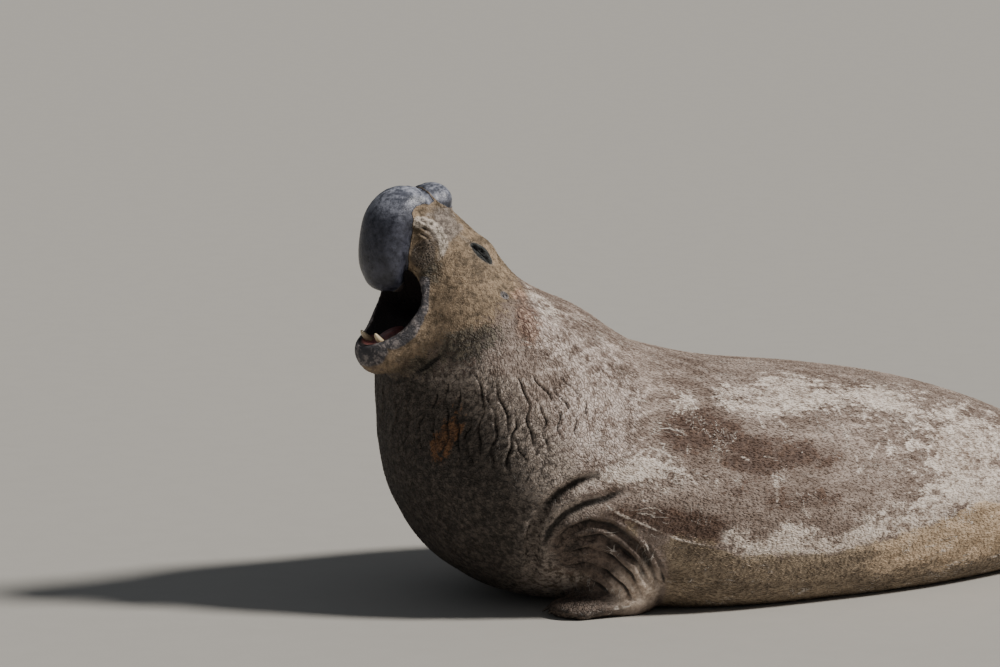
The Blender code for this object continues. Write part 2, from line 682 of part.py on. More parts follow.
# The trunk, parted from the tail forward.
for name, along in (("rump", 2.05), ("hips", 1.50), ("loin", 0.98)):
    place = spine_place(along)
    pieces[name] = split(seal, name, place.translation, place.to_3x3() @ Vector((1, 0, 0)))
pieces["head"] = split(seal, "head", (-0.46, 0, 0.84), (-0.32, 0, 0.95))
pieces["neck"] = split(seal, "neck", (-0.53, 0, 0.60), (-0.34, 0, 0.94))
pieces["trunk"] = split(seal, "trunk", (0.425, 0, 0), (1, 0, 0))
seal.name = "chest"
pieces["chest"] = seal

# Ear holes, eyes, teeth, tongue and claws, each set in with its clearance.
head, jaw = pieces["head"], pieces["lower_jaw"]
pieces["tongue"] = seated((head, jaw), oval, "tongue", TONGUE, TONGUE_RADII, TONGUE_TILT, head_place)
for side, sign in (("left", 1), ("right", -1)):
    mirror = Matrix.Diagonal((1, sign, 1, 1))
    ear = oval("ear", mirror @ EAR, EAR_CUP, 0.0, head_place, rings=8, around=10)
    worked(head, ear, "DIFFERENCE")
    bpy.data.objects.remove(ear)
    eye = mirror @ EYE
    opening = oval("opening", eye + Vector((0, -sign * EYE_RADIUS, 0)), LID_OPENING, LID_TILT, head_place)
    worked(head, opening, "DIFFERENCE")
    bpy.data.objects.remove(opening)
    name = "eye_" + side
    pieces[name] = seated((head,), oval, name, eye, (EYE_RADIUS,) * 3, 0.0, head_place)
    name = "lower_canine_" + side
    root, tip, radius = CANINE
    pieces[name] = seated((jaw,), horn, name, mirror @ root, mirror @ tip, TOOTH_BOW, radius, head_place)
    for count, (x, y) in enumerate(FORE_TIPS, 1):
        root = mirror @ Vector((x + CLAW_ROOT, y, CLAW_ROOT_Z))
        tip = mirror @ Vector((x - CLAW_REACH, y, CLAW_TIP_Z))
        name = "claw_%s_%d" % (side, count)
        pieces[name] = seated((pieces["foreflipper_" + side],), horn, name, root, tip, CLAW_BOW,
                              CLAW_RADIUS, Matrix.Identity(4), rings=4, sides=6)

FINISHES = {
    "head": ("tan_face_fur", FACE, 0.62),
    "lower_jaw": ("dark_lip_skin", (0.105, 0.088, 0.080), 0.55),
    "proboscis": ("slate_nose_skin", SLATE, 0.42),
    "neck": ("cracked_shield_skin", SHIELD, 0.68),
    "chest": ("dark_chest_fur", SHIELD, 0.66),
    "trunk": ("brown_flank_fur", FLANK, 0.60),
    "loin": ("brown_flank_fur", FLANK, 0.60),
    "hips": ("pale_hip_fur", PALE, 0.60),
    "rump": ("pale_hip_fur", PALE, 0.60),
    "foreflipper": ("flipper_skin", LIMB, 0.55),
    "hind_flipper": ("hind_flipper_skin", (0.230, 0.180, 0.155), 0.58),
    "eye": ("eye_black", (0.012, 0.010, 0.010), 0.08),
    "lower_canine": ("tooth_cream", (0.720, 0.600, 0.400), 0.30),
    "tongue": ("tongue_pink", (0.420, 0.150, 0.140), 0.35),
    "claw": ("claw_horn", (0.035, 0.028, 0.022), 0.40),
}
for name, piece in pieces.items():
    finish = FINISHES[next(kind for kind in sorted(FINISHES, key=len, reverse=True) if name.startswith(kind))]
    own = material(name + "_" + finish[0], *finish[1:])
    piece.name = name
    piece.data.name = name
    piece.data.transform(Matrix.Translation(SHIFT))
    piece.data.materials.clear()
    piece.data.materials.append(own)
    for polygon in piece.data.polygons:
        polygon.material_index = 0
        polygon.use_smooth = False
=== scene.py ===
import math

import bmesh
import bpy
import numpy as np
from mathutils import Matrix, Vector


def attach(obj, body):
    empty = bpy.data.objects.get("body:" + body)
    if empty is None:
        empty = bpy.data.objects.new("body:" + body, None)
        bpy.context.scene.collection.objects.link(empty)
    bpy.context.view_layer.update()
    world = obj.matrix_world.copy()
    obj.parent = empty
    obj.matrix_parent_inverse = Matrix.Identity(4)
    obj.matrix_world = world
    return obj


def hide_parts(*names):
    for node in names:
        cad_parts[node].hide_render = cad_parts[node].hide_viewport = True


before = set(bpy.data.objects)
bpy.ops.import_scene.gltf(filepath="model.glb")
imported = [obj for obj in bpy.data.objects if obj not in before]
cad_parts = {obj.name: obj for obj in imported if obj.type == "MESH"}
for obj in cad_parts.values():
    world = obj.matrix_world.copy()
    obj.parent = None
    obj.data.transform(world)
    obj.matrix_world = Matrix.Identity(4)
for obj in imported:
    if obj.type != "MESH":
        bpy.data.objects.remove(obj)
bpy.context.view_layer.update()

# The hide, in one piece from the nose to the hind flippers: thick skin over blubber, with short stiff hair.
# It is shaped like clay, from swept and rounded forms blended together with a mouth cut out of them, straight
# and even-sided at first, then wrapped, creased, and turned and bent into the pose.
SHIFT = (-1.199, -0.060, 0.0)
HEAD_TURN = math.radians(15)
TURN_X = 0.02
BEND_FROM_X = 0.80
BEND_PER_M = math.radians(11)
HAIR_DEPTH = 0.002                   # the skin lies this far inside the outline of the solids
BODY = (
    (2.66, 0.150, 0.065, 0.065, 0.0), (2.46, 0.155, 0.105, 0.125, 0.2), (2.18, 0.190, 0.168, 0.210, 0.6),
    (1.88, 0.232, 0.240, 0.315, 1.0), (1.58, 0.288, 0.312, 0.415, 1.3), (1.28, 0.328, 0.368, 0.505, 1.4),
    (0.95, 0.355, 0.400, 0.570, 1.5), (0.56, 0.380, 0.420, 0.620, 1.7), (0.22, 0.430, 0.455, 0.580, 0.3),
    (-0.020, 0.490, 0.455, 0.530, 0.0), (-0.12, 0.690, 0.395, 0.460, 0.0), (-0.19, 0.820, 0.340, 0.395, 0.0),
    (-0.245, 0.930, 0.270, 0.315, 0.0), (-0.275, 1.010, 0.215, 0.250, 0.0),
)
SKULL = (
    (-0.245, 0.94, 0.235, 0.265, 0.0), (-0.285, 1.08, 0.182, 0.200, 0.0), (-0.335, 1.19, 0.138, 0.158, 0.0),
    (-0.395, 1.285, 0.105, 0.122, 0.0), (-0.435, 1.335, 0.080, 0.100, 0.0),
)
NOSE_LOBE = (
    (-0.43, 1.345, 0.072, 0.088, 0.0), (-0.498, 1.375, 0.072, 0.098, 0.0),
    (-0.548, 1.335, 0.078, 0.102, 0.0), (-0.568, 1.265, 0.078, 0.103, 0.0),
    (-0.575, 1.200, 0.075, 0.098, 0.0), (-0.572, 1.155, 0.062, 0.084, 0.0),
)
JAW = (
    (-0.36, 0.985, 0.130, 0.185, 0.0), (-0.48, 0.932, 0.112, 0.138, 0.0), (-0.57, 0.893, 0.088, 0.104, 0.0),
    (-0.618, 0.893, 0.056, 0.072, 0.0),
)
CHEEKS = ((-0.470, 0.940, 0.085, 0.128, 0.0), (-0.440, 1.060, 0.090, 0.132, 0.0),
          (-0.430, 1.160, 0.085, 0.122, 0.0))
GAPE = (
    (-0.68, 1.070, 0.150, 0.135, 0.0), (-0.60, 1.070, 0.142, 0.135, 0.0), (-0.52, 1.070, 0.098, 0.125, 0.0),
    (-0.44, 1.055, 0.060, 0.095, 0.0), (-0.38, 1.035, 0.026, 0.050, 0.0),
)
LIP = (
    (-0.466, -0.106, 1.165, 0.016, 0.016), (-0.480, -0.116, 1.120, 0.016, 0.016),
    (-0.487, -0.120, 1.079, 0.017, 0.017), (-0.498, -0.121, 1.040, 0.019, 0.019),
    (-0.522, -0.116, 0.996, 0.021, 0.021), (-0.548, -0.106, 0.957, 0.021, 0.021),
    (-0.585, -0.082, 0.928, 0.021, 0.021), (-0.622, -0.045, 0.914, 0.021, 0.021),
)
PAD_ROLL = (
    (-0.510, -0.088, 1.334, 0.014, 0.014), (-0.463, -0.100, 1.322, 0.018, 0.018),
    (-0.430, -0.112, 1.292, 0.020, 0.020), (-0.420, -0.120, 1.246, 0.019, 0.019),
    (-0.438, -0.118, 1.190, 0.016, 0.016),
)
CHEEK = ((-0.345, -0.110, 1.12), (0.095, 0.085, 0.13), 30, 0.06)
BROW = ((-0.258, -0.102, 1.215), (0.062, 0.046, 0.045), 40, 0.035)
WHISKER_PAD = ((-0.464, -0.082, 1.252), (0.062, 0.052, 0.086), 20, 0.03)
PAD_HOLLOW = ((-0.520, -0.124, 1.246), (0.024, 0.022, 0.036), 20, 0.02)
NOSE_HUMP = ((-0.378, 0.0, 1.393), (0.060, 0.088, 0.058), 0, 0.025)
NOSE_TIP = ((-0.536, -0.036, 1.118), (0.028, 0.030, 0.028), 0, 0.016)
NOSTRIL = ((-0.508, -0.036, 1.132), (0.026, 0.012, 0.013), 40, 0.008)
CHIN_FOLD = (-0.568, 0.795, 0.014, 1.0, 2.2, 0.30)
ARM_FOLDS = (
    ((0.071, -0.560, 0.510, 0.008, 0.008), (-0.055, -0.540, 0.441, 0.016, 0.016),
     (-0.127, -0.489, 0.336, 0.018, 0.018), (-0.115, -0.417, 0.190, 0.016, 0.016),
     (-0.090, -0.350, 0.100, 0.010, 0.010)),
    ((-0.061, -0.480, 0.261, 0.006, 0.006), (0.048, -0.545, 0.342, 0.010, 0.010),
     (0.167, -0.562, 0.296, 0.010, 0.010), (0.263, -0.562, 0.171, 0.009, 0.009),
     (0.307, -0.515, 0.091, 0.006, 0.006)),
    ((0.007, -0.510, 0.270, 0.005, 0.005), (0.120, -0.542, 0.272, 0.009, 0.009),
     (0.220, -0.560, 0.191, 0.009, 0.009), (0.275, -0.532, 0.104, 0.006, 0.006)),
)
ARM = ((0.31, -0.43, 0.37, 0.145, 0.145), (0.26, -0.425, 0.23, 0.145, 0.135),
       (0.215, -0.405, 0.09, 0.125, 0.10))
PALM = ((0.225, -0.400, 0.055, 0.098, 0.060), (0.13, -0.405, 0.038, 0.105, 0.046),
        (0.05, -0.410, 0.028, 0.100, 0.038))
FORE_TIPS = ((0.008, -0.325), (-0.022, -0.364), (-0.018, -0.408), (0.004, -0.450), (0.042, -0.486))
FORE_Y = -0.405
FORE_DIGIT = (0.028, 0.020)
ANKLE = np.array((2.56, -0.070, 0.135))
HIND_ALONG = np.array((0.970, -0.235, -0.040))
HIND_ROLL = math.radians(38)
HIND_TIPS = ((0.44, -0.150), (0.375, -0.080), (0.345, 0.0), (0.375, 0.080), (0.46, 0.165))
HIND_DIGIT = (0.036, 0.018)
HIND_THIN = 0.65
TAIL = ((2.60, 0, 0.172, 0.06, 0.036), (2.79, 0, 0.160, 0.032, 0.018))
EYE = (-0.274, -0.134, 1.219)
EYE_RADIUS = 0.030


def smooth_union(a, b, blend):
    share = np.maximum(blend - np.abs(a - b), 0) / blend
    return np.minimum(a, b) - share * share * blend / 4


def smooth_cut(a, b, blend):
    return -smooth_union(-a, b, blend)


def eased(stations, steps):
    rows = np.array(stations, float)
    rows = np.vstack([2 * rows[0] - rows[1], rows, 2 * rows[-1] - rows[-2]])
    out = []
    for before, start, end, after in zip(rows, rows[1:], rows[2:], rows[3:]):
        for t in np.linspace(0, 1, steps, endpoint=False):
            square = 2 * before - 5 * start + 4 * end - after
            cube = 3 * start - before - 3 * end + after
            out.append(0.5 * (2 * start + (end - before) * t + square * t ** 2 + cube * t ** 3))
    out.append(rows[-2])
    return np.array(out)


def middle_form(p, stations, steps=4):
    """A form on the middle plane."""
    best = np.full(len(p), 9.0)
    rows = eased(stations, steps)
    flat = p[:, ::2]
    for start, end in zip(rows, rows[1:]):
        along = end[:2] - start[:2]
        t = np.clip((flat - start[:2]) @ along / (along @ along), 0, 1)
        depth = start[2] + t * (end[2] - start[2])
        width = start[3] + t * (end[3] - start[3])
        off = flat - start[:2] - t[:, None] * along
        rise = np.hypot(off[:, 0], off[:, 1])
        side = np.abs(p[:, 1]) * depth / width
        full = start[4] + t * (end[4] - start[4])
        power = 2 + full * np.clip(-off[:, 1] / depth, 0, 1)
        far = (rise ** power + side ** power + 1e-12) ** (1 / power) - depth
        np.minimum(best, far, out=best)
    return best


def limb_form(p, stations, thin_way, steps=2):
    """A form anywhere, thinner along thin_way."""
    way = np.array(thin_way, float)
    way /= np.linalg.norm(way)
    best = np.full(len(p), 9.0)
    rows = eased(stations, steps)
    for start, end in zip(rows, rows[1:]):
        along = end[:3] - start[:3]
        t = np.clip((p - start[:3]) @ along / (along @ along), 0, 1)
        broad = start[3] + t * (end[3] - start[3])
        thick = start[4] + t * (end[4] - start[4])
        off = p - start[:3] - t[:, None] * along
        across = off @ way
        level = np.sqrt(np.maximum((off * off).sum(1) - across ** 2, 0))
        length = np.hypot(level, across * broad / thick)
        far = (length - broad) * np.sqrt(thick / broad)
        np.minimum(best, far, out=best)
    return best


def ball(p, centre, radii, tilt=0.0):
    """An ellipsoid; tilt turns it in the side plane, in degrees."""
    turn = math.radians(tilt)
    off = p - np.array(centre)
    along = off[:, 0] * math.cos(turn) - off[:, 2] * math.sin(turn)
    rise = off[:, 0] * math.sin(turn) + off[:, 2] * math.cos(turn)
    q = np.stack([along, off[:, 1], rise], 1) / radii
    k = np.sqrt((q * q).sum(1))
    slope = np.sqrt((q * q / np.square(radii)).sum(1)) + 1e-9
    return k * (k - 1) / slope


def head_forms(p, f):
    f = smooth_union(f, middle_form(p, SKULL), 0.05)
    for centre, radii, tilt, blend in (CHEEK, BROW, WHISKER_PAD):
        f = smooth_union(f, ball(p, centre, radii, tilt), blend)
    f = smooth_union(f, middle_form(p, JAW), 0.03)
    f = smooth_union(f, middle_form(p, CHEEKS), 0.05)
    f = smooth_union(f, limb_form(p, LIP, (0, 1, 0)), 0.025)
    f = smooth_cut(f, middle_form(p, GAPE), 0.010)
    f = smooth_union(f, middle_form(p, NOSE_LOBE), 0.015)
    f = smooth_union(f, ball(p, *NOSE_HUMP[:3]), NOSE_HUMP[3])
    f = smooth_union(f, limb_form(p, PAD_ROLL, (0, 1, 0)), 0.03)
    f = smooth_cut(f, ball(p, *PAD_HOLLOW[:3]), PAD_HOLLOW[3])
    f = smooth_union(f, ball(p, *NOSE_TIP[:3]), NOSE_TIP[3])
    f = smooth_cut(f, ball(p, *NOSTRIL[:3]), NOSTRIL[3])
    x, z, radius, back, rise, thinner = CHIN_FOLD
    aside = np.abs(p[:, 1])
    fold = np.hypot(p[:, 0] - x - back * aside ** 2, p[:, 2] - z - rise * aside ** 2)
    f = smooth_cut(f, fold - radius + thinner * aside ** 2, 0.03)
    # The lids: a low mound parted by a slit that opens on the eyeball. Then the ear hole.
    f = smooth_union(f, ball(p, EYE, (0.037, 0.037, 0.037)), 0.012)
    opening = ball(p, (EYE[0] - 0.006, EYE[1] - 0.034, EYE[2] + 0.004), (0.031, 0.026, 0.0045), 45)
    f = smooth_cut(f, opening, 0.004)
    return smooth_cut(f, ball(p, (-0.254, -0.254, 1.088), (0.008, 0.016, 0.006), 20), 0.006)


def fore_forms(p, f):
    f = smooth_union(f, limb_form(p, ARM, (0, 1, 0)), 0.045)
    hand = limb_form(p, PALM, (0, 0, 1))
    for x, y in FORE_TIPS:
        root_y = FORE_Y + (y - FORE_Y) * 0.6
        root = (0.13, root_y, 0.038, FORE_DIGIT[0], FORE_DIGIT[0])
        knuckle = ((x + 0.13) / 2, (y + root_y) / 2, 0.032, FORE_DIGIT[0], FORE_DIGIT[0])
        tip = (x, y, 0.014, FORE_DIGIT[1], FORE_DIGIT[1])
        hand = smooth_union(hand, limb_form(p, (root, knuckle, tip), (0, 0, 1)), 0.014)
    f = smooth_union(f, hand, 0.025)
    for fold in ARM_FOLDS:
        f = smooth_cut(f, limb_form(p, fold, (0, 1, 0)), 0.014)
    return f


def hind_frame():
    along = HIND_ALONG / np.linalg.norm(HIND_ALONG)
    out = np.cross((0, 0, 1), along)
    out /= -np.linalg.norm(out)
    up = np.cross(out, along)
    up *= math.copysign(1, up[2])
    across = out * math.cos(HIND_ROLL) - up * math.sin(HIND_ROLL)
    return along, across, np.cross(along, across)


def hind_forms(p, f):
    along, across, thin = hind_frame()
    heel = ((2.40, -0.045, 0.145, 0.085, 0.065), tuple(ANKLE) + (0.062, 0.045),
            tuple(ANKLE + along * 0.10) + (0.070, 0.034))
    foot = limb_form(p, heel, thin)
    points = []
    for reach, spread in HIND_TIPS:
        root = ANKLE + along * 0.05 + across * spread * 0.28
        tip = ANKLE + along * reach + across * spread
        points.append((root, tip))
        mid = root * 0.5 + tip * 0.5 + across * spread * 0.10
        stations = (tuple(root) + (HIND_DIGIT[0], HIND_DIGIT[0] * HIND_THIN),
                    tuple(mid) + (HIND_DIGIT[0] * 0.9, HIND_DIGIT[0] * HIND_THIN * 0.8),
                    tuple(tip) + (HIND_DIGIT[1], HIND_DIGIT[1] * HIND_THIN))
        foot = smooth_union(foot, limb_form(p, stations, thin), 0.014)
    for (root, tip), (next_root, next_tip) in zip(points, points[1:]):
        start = (root + next_root) / 2
        end = start + ((tip + next_tip) / 2 - start) * 0.80
        web = limb_form(p, (tuple(start) + (0.042, 0.013), tuple(end) + (0.038, 0.011)), thin)
        foot = smooth_union(foot, web, 0.012)
    f = smooth_union(f, foot, 0.04)
    return smooth_union(f, limb_form(p, TAIL, (0, 0, 1)), 0.035)


def seal_form(points):
    p = points.copy()
    p[:, 1] = -np.abs(p[:, 1])
    f = middle_form(p, BODY)
    f = smooth_union(f, ball(p, (0.08, 0.0, 0.66), (0.30, 0.42, 0.33)), 0.08)
    for forms, low, high in ((head_forms, (-0.9, -0.5, 0.70), (0.2, 0.1, 1.6)),
                             (fore_forms, (-0.25, -0.8, -0.2), (0.7, -0.1, 0.7)),
                             (hind_forms, (2.2, -0.6, -0.2), (3.2, 0.1, 0.5))):
        at = ((p > low) & (p < high)).all(1)
        if at.any():
            f[at] = forms(p[at], f[at])
    return f


def spaced(*marks):
    """Grid lines: marks are the start and the spacing of each stretch, then the end."""
    lines = [np.linspace(start, end, max(1, round((end - start) / step)), endpoint=False)
             for (start, step), (end, _) in zip(marks, marks[1:])]
    return np.concatenate(lines + [[marks[-1][0]]])


def untangled(value):
    """Fills the grid corners where the surface would touch itself along an edge."""
    tangled = True
    while tangled:
        tangled = False
        inside = value < 0
        for a, b in ((0, 1), (1, 2), (0, 2)):
            corners = []
            for high_a, high_b in ((0, 0), (1, 1), (0, 1), (1, 0)):
                cut = [slice(None)] * 3
                cut[a] = slice(1, None) if high_a else slice(0, -1)
                cut[b] = slice(1, None) if high_b else slice(0, -1)
                corners.append(tuple(cut))
            near, far, one, other = [inside[c] for c in corners]
            crossed = (near == far) & (one == other) & (near != one)
            if crossed.any():
                tangled = True
                for corner in corners:
                    value[corner][crossed] = np.minimum(value[corner][crossed], -0.0005)
    return value


def wrapped(form, xs, ys, zs, block=5):
    """Points and four-sided faces round a form, one point to each grid cell its surface passes through."""
    lines = (xs, ys, zs)
    shape = tuple(len(a) for a in lines)
    starts = [np.arange(0, n, block) for n in shape]
    middles = [a[np.minimum(s + block // 2, len(a) - 1)] for a, s in zip(lines, starts)]
    rough = form(np.stack(np.meshgrid(*middles, indexing="ij"), -1).reshape(-1, 3))
    rough = rough.reshape([len(s) for s in starts])
    sizes = [np.diff(np.append(a[s], a[-1] + 1e-6)) for a, s in zip(lines, starts)]
    across, along, up = (size ** 2 for size in sizes)
    reach = np.sqrt(across[:, None, None] + along[None, :, None] + up[None, None, :])
    near = np.abs(rough) < reach + 0.01
    value = rough
    for axis in range(3):
        near = np.repeat(near, block, axis)
        value = np.repeat(value, block, axis)
    near = near[:shape[0], :shape[1], :shape[2]]
    value = value[:shape[0], :shape[1], :shape[2]].copy()
    at = np.argwhere(near)
    value[near] = form(np.stack([a[at[:, i]] for i, a in enumerate(lines)], 1))
    value = untangled(value)
    inside = value < 0
    total = np.zeros(shape + (3,))
    count = np.zeros(shape, int)
    edges = []
    for axis in range(3):
        low = [slice(None)] * 3
        high = [slice(None)] * 3
        low[axis] = slice(0, -1)
        high[axis] = slice(1, None)
        edge = np.argwhere(inside[tuple(low)] != inside[tuple(high)])
        step = np.eye(3, dtype=int)[axis]
        first = value[tuple(edge.T)]
        second = value[tuple((edge + step).T)]
        spot = np.stack([a[edge[:, i]] for i, a in enumerate(lines)], 1)
        at = edge[:, axis]
        spot[:, axis] += first / (first - second) * (lines[axis][at + 1] - lines[axis][at])
        edges.append((axis, edge, first < 0))
        for back_b in (0, 1):
            for back_c in (0, 1):
                cell = edge - back_b * np.roll(np.eye(3, dtype=int)[axis], 1) - back_c * np.roll(step, 2)
                np.add.at(total, tuple(cell.T), spot)
                np.add.at(count, tuple(cell.T), 1)
    used = np.argwhere(count > 0)
    number = np.full(shape, -1)
    number[tuple(used.T)] = np.arange(len(used))
    points = total[tuple(used.T)] / count[tuple(used.T)][:, None]
    faces = []
    for axis, edge, outward in edges:
        b = np.roll(np.eye(3, dtype=int)[axis], 1)
        c = np.roll(np.eye(3, dtype=int)[axis], 2)
        corners = np.stack([number[tuple((edge - m * b - n * c).T)]
                            for m, n in ((0, 0), (1, 0), (1, 1), (0, 1))], 1)
        corners[~outward] = corners[~outward][:, ::-1]
        faces.append(corners)
    return points, np.concatenate(faces)


def steepest(form, points):
    reach = 0.001
    return np.stack([form(points + d) - form(points - d) for d in np.eye(3) * reach], 1) / (2 * reach)


def settled(form, points, rounds=2):
    """The points moved on to the surface of the form."""
    for _ in range(rounds):
        value = form(points)
        slope = steepest(form, points)
        step = slope * (value / ((slope * slope).sum(1) + 1e-6))[:, None]
        size = np.linalg.norm(step, axis=1)
        points = points - step * np.minimum(1, 0.008 / np.maximum(size, 1e-9))[:, None]
    return points


def smoothed(points, faces, rounds, share):
    """Each point drawn towards the middle of its neighbours, by its own share."""
    ends = np.concatenate([faces[:, [0, 1]], faces[:, [1, 2]], faces[:, [2, 3]], faces[:, [3, 0]]])
    number = np.bincount(ends[:, 0], minlength=len(points))[:, None]
    for _ in range(rounds):
        total = np.stack([np.bincount(ends[:, 0], points[ends[:, 1], i], len(points)) for i in range(3)], 1)
        points = points + (total / number - points) * share[:, None]
    return points


def ease(t):
    t = np.clip(t, 0, 1)
    return t * t * (3 - 2 * t)


def posed(points):
    """The head turned, the hind part bent, and the whole moved over the origin."""
    x, y, z = points.T
    share = ease((z - 0.45) / 0.40) * ease((0.75 - x) / 0.50)
    turn = HEAD_TURN * share
    off = x - TURN_X
    turned_x = TURN_X + off * np.cos(turn) - y * np.sin(turn)
    turned_y = off * np.sin(turn) + y * np.cos(turn)
    past = np.maximum(x - BEND_FROM_X, 0)
    bend = past * BEND_PER_M
    bent_x = BEND_FROM_X + np.sin(bend) / BEND_PER_M - y * np.sin(bend)
    bent_y = (1 - np.cos(bend)) / BEND_PER_M + y * np.cos(bend)
    behind = past > 0
    return np.stack([np.where(behind, bent_x, turned_x), np.where(behind, bent_y, turned_y), z], 1) + SHIFT


xs = spaced((-0.80, 0.0097), (-0.22, 0.0145), (0.34, 0.028), (2.35, 0.017), (3.20, None))
ys = spaced((-0.90, 0.017), (-0.22, 0.011), (0.22, 0.017), (0.90, None))
zs = spaced((-0.08, 0.013), (0.30, 0.020), (0.80, 0.0109), (1.52, None))
clay, faces = wrapped(seal_form, xs, ys, zs)
clay = settled(seal_form, clay)
x, y, z = clay.T
before_rump = ease((2.45 - x) / 0.25)
trunk = ease((x - 0.40) / 0.10) * before_rump
chest = ease((0.98 - z) / 0.20) * ease((z - 0.30) / 0.12) * before_rump
clay = smoothed(clay, faces, 10, np.maximum(0.06, 0.5 * np.maximum(trunk, chest)))

# Creases and scars of one side, as points along each. A crease also has its depth and half width.
SHOULDER = (
    (0.071, -0.555, 0.505), (0.008, -0.547, 0.484), (-0.055, -0.534, 0.441), (-0.101, -0.515, 0.390),
    (-0.127, -0.489, 0.336), (-0.128, -0.455, 0.261), (-0.115, -0.417, 0.190), (-0.090, -0.360, 0.100),
)
CREASES = (
    (SHOULDER, 0.030, 0.017),
    (((0.160, -0.574, 0.453), (0.093, -0.564, 0.421), (0.028, -0.550, 0.405), (-0.035, -0.529, 0.372),
      (-0.078, -0.500, 0.318), (-0.089, -0.457, 0.242)), 0.012, 0.017),
    (((-0.061, -0.479, 0.261), (-0.015, -0.520, 0.318), (0.048, -0.542, 0.342), (0.115, -0.553, 0.329),
      (0.167, -0.558, 0.296), (0.217, -0.566, 0.244), (0.263, -0.558, 0.171), (0.307, -0.515, 0.091)),
     0.017, 0.010),
    (((0.007, -0.508, 0.277), (0.087, -0.534, 0.290), (0.154, -0.543, 0.250), (0.220, -0.557, 0.191),
      (0.275, -0.532, 0.104)), 0.016, 0.009),
    (((-0.012, -0.470, 0.225), (0.063, -0.515, 0.245), (0.140, -0.520, 0.210), (0.200, -0.535, 0.150),
      (0.250, -0.509, 0.067)), 0.015, 0.008),
    (((-0.017, -0.421, 0.165), (0.058, -0.470, 0.185), (0.120, -0.495, 0.160), (0.175, -0.515, 0.110),
      (0.215, -0.505, 0.060)), 0.015, 0.008),
    (((-0.009, -0.355, 0.112), (0.057, -0.420, 0.130), (0.111, -0.463, 0.105), (0.150, -0.490, 0.075)),
     0.014, 0.008),
    (((0.238, -0.570, 0.262), (0.285, -0.560, 0.190), (0.325, -0.528, 0.105)), 0.009, 0.007),
    (((-0.318, -0.155, 1.251), (-0.304, -0.163, 1.235), (-0.289, -0.171, 1.218), (-0.262, -0.187, 1.187)),
     0.012, 0.0055),
    (((-0.434, -0.095, 1.392), (-0.437, -0.062, 1.428), (-0.438, 0.0, 1.448)), 0.014, 0.010),
    (((-0.530, 0.0, 0.775), (-0.520, -0.070, 0.800), (-0.500, -0.150, 0.850), (-0.470, -0.215, 0.905)),
     0.006, 0.012),
    (((-0.500, -0.105, 1.345), (-0.462, -0.118, 1.325), (-0.430, -0.130, 1.290), (-0.415, -0.135, 1.240)),
     0.005, 0.005),
    (((-0.505, -0.112, 1.325), (-0.470, -0.122, 1.305), (-0.445, -0.130, 1.270)), 0.004, 0.004),
    (((-0.500, -0.112, 1.300), (-0.478, -0.125, 1.285), (-0.460, -0.130, 1.250)), 0.004, 0.004),
)
SCARS = (
    ((0.109, -0.547, 0.560), (0.164, -0.555, 0.549), (0.226, -0.545, 0.585), (0.282, -0.558, 0.567),
     (0.341, -0.575, 0.535)),
    ((0.077, -0.561, 0.421), (0.145, -0.567, 0.368), (0.228, -0.583, 0.331), (0.350, -0.591, 0.274),
     (0.489, -0.601, 0.240)),
    ((0.295, -0.448, 0.712), (0.354, -0.441, 0.711), (0.424, -0.432, 0.707)),
    ((0.497, -0.407, 0.712), (0.576, -0.379, 0.714)),
    ((0.152, -0.445, 0.735), (0.224, -0.453, 0.715)),
    ((0.747, -0.448, 0.643), (0.768, -0.470, 0.622), (0.791, -0.505, 0.585)),
    ((0.989, -0.341, 0.673), (0.982, -0.419, 0.624)),
    ((0.678, -0.586, 0.493), (0.693, -0.606, 0.427), (0.688, -0.612, 0.377)),
    ((0.979, -0.427, 0.619), (0.966, -0.512, 0.530)),
    ((0.779, -0.246, 0.739), (0.704, -0.377, 0.695)),
    ((0.373, -0.542, 0.598), (0.368, -0.568, 0.555)),
    ((0.674, -0.427, 0.670), (0.684, -0.497, 0.613)),
    ((0.990, -0.510, 0.529), (0.992, -0.551, 0.449)),
    ((0.486, -0.594, 0.504), (0.465, -0.612, 0.442)),
    ((0.775, -0.601, 0.370), (0.819, -0.594, 0.314)),
    ((1.092, -0.471, 0.549), (1.037, -0.521, 0.493)),
    ((1.265, -0.285, 0.646), (1.328, -0.306, 0.617)),
    ((0.565, -0.570, 0.546), (0.607, -0.579, 0.522)),
    ((0.309, -0.580, 0.512), (0.380, -0.594, 0.490), (0.414, -0.605, 0.450)),
)
# Cracks of the calloused neck shield, by angle from the front in degrees, top height and length.
CRACKS = ((33, 0.80, 0.24), (40, 0.84, 0.30), (46, 0.82, 0.34), (51, 0.72, 0.20), (56, 0.86, 0.34),
          (61, 0.79, 0.28), (66, 0.85, 0.36), (70, 0.72, 0.18), (75, 0.86, 0.30), (80, 0.80, 0.22),
          (85, 0.87, 0.26), (91, 0.83, 0.22), (97, 0.86, 0.18), (26, 0.74, 0.20), (15, 0.77, 0.22),
          (4, 0.75, 0.18), (-9, 0.79, 0.22), (-20, 0.75, 0.24), (-31, 0.81, 0.28), (-38, 0.74, 0.20),
          (-44, 0.84, 0.33), (-51, 0.80, 0.26), (-58, 0.86, 0.34), (-64, 0.74, 0.20), (-70, 0.84, 0.30),
          (-78, 0.81, 0.22), (-86, 0.87, 0.25), (-94, 0.83, 0.18))


def off_line(p, line):
    """Distance from a line of points, and the share along it."""
    line = np.array(line, float)
    best = np.full(len(p), 9.0)
    share = np.zeros(len(p))
    for i, (start, end) in enumerate(zip(line, line[1:])):
        along = end - start
        t = np.clip((p - start) @ along / (along @ along), 0, 1)
        far = np.linalg.norm(p - start - t[:, None] * along, axis=1)
        closer = far < best
        best = np.where(closer, far, best)
        share = np.where(closer, (i + t) / (len(line) - 1), share)
    return best, share


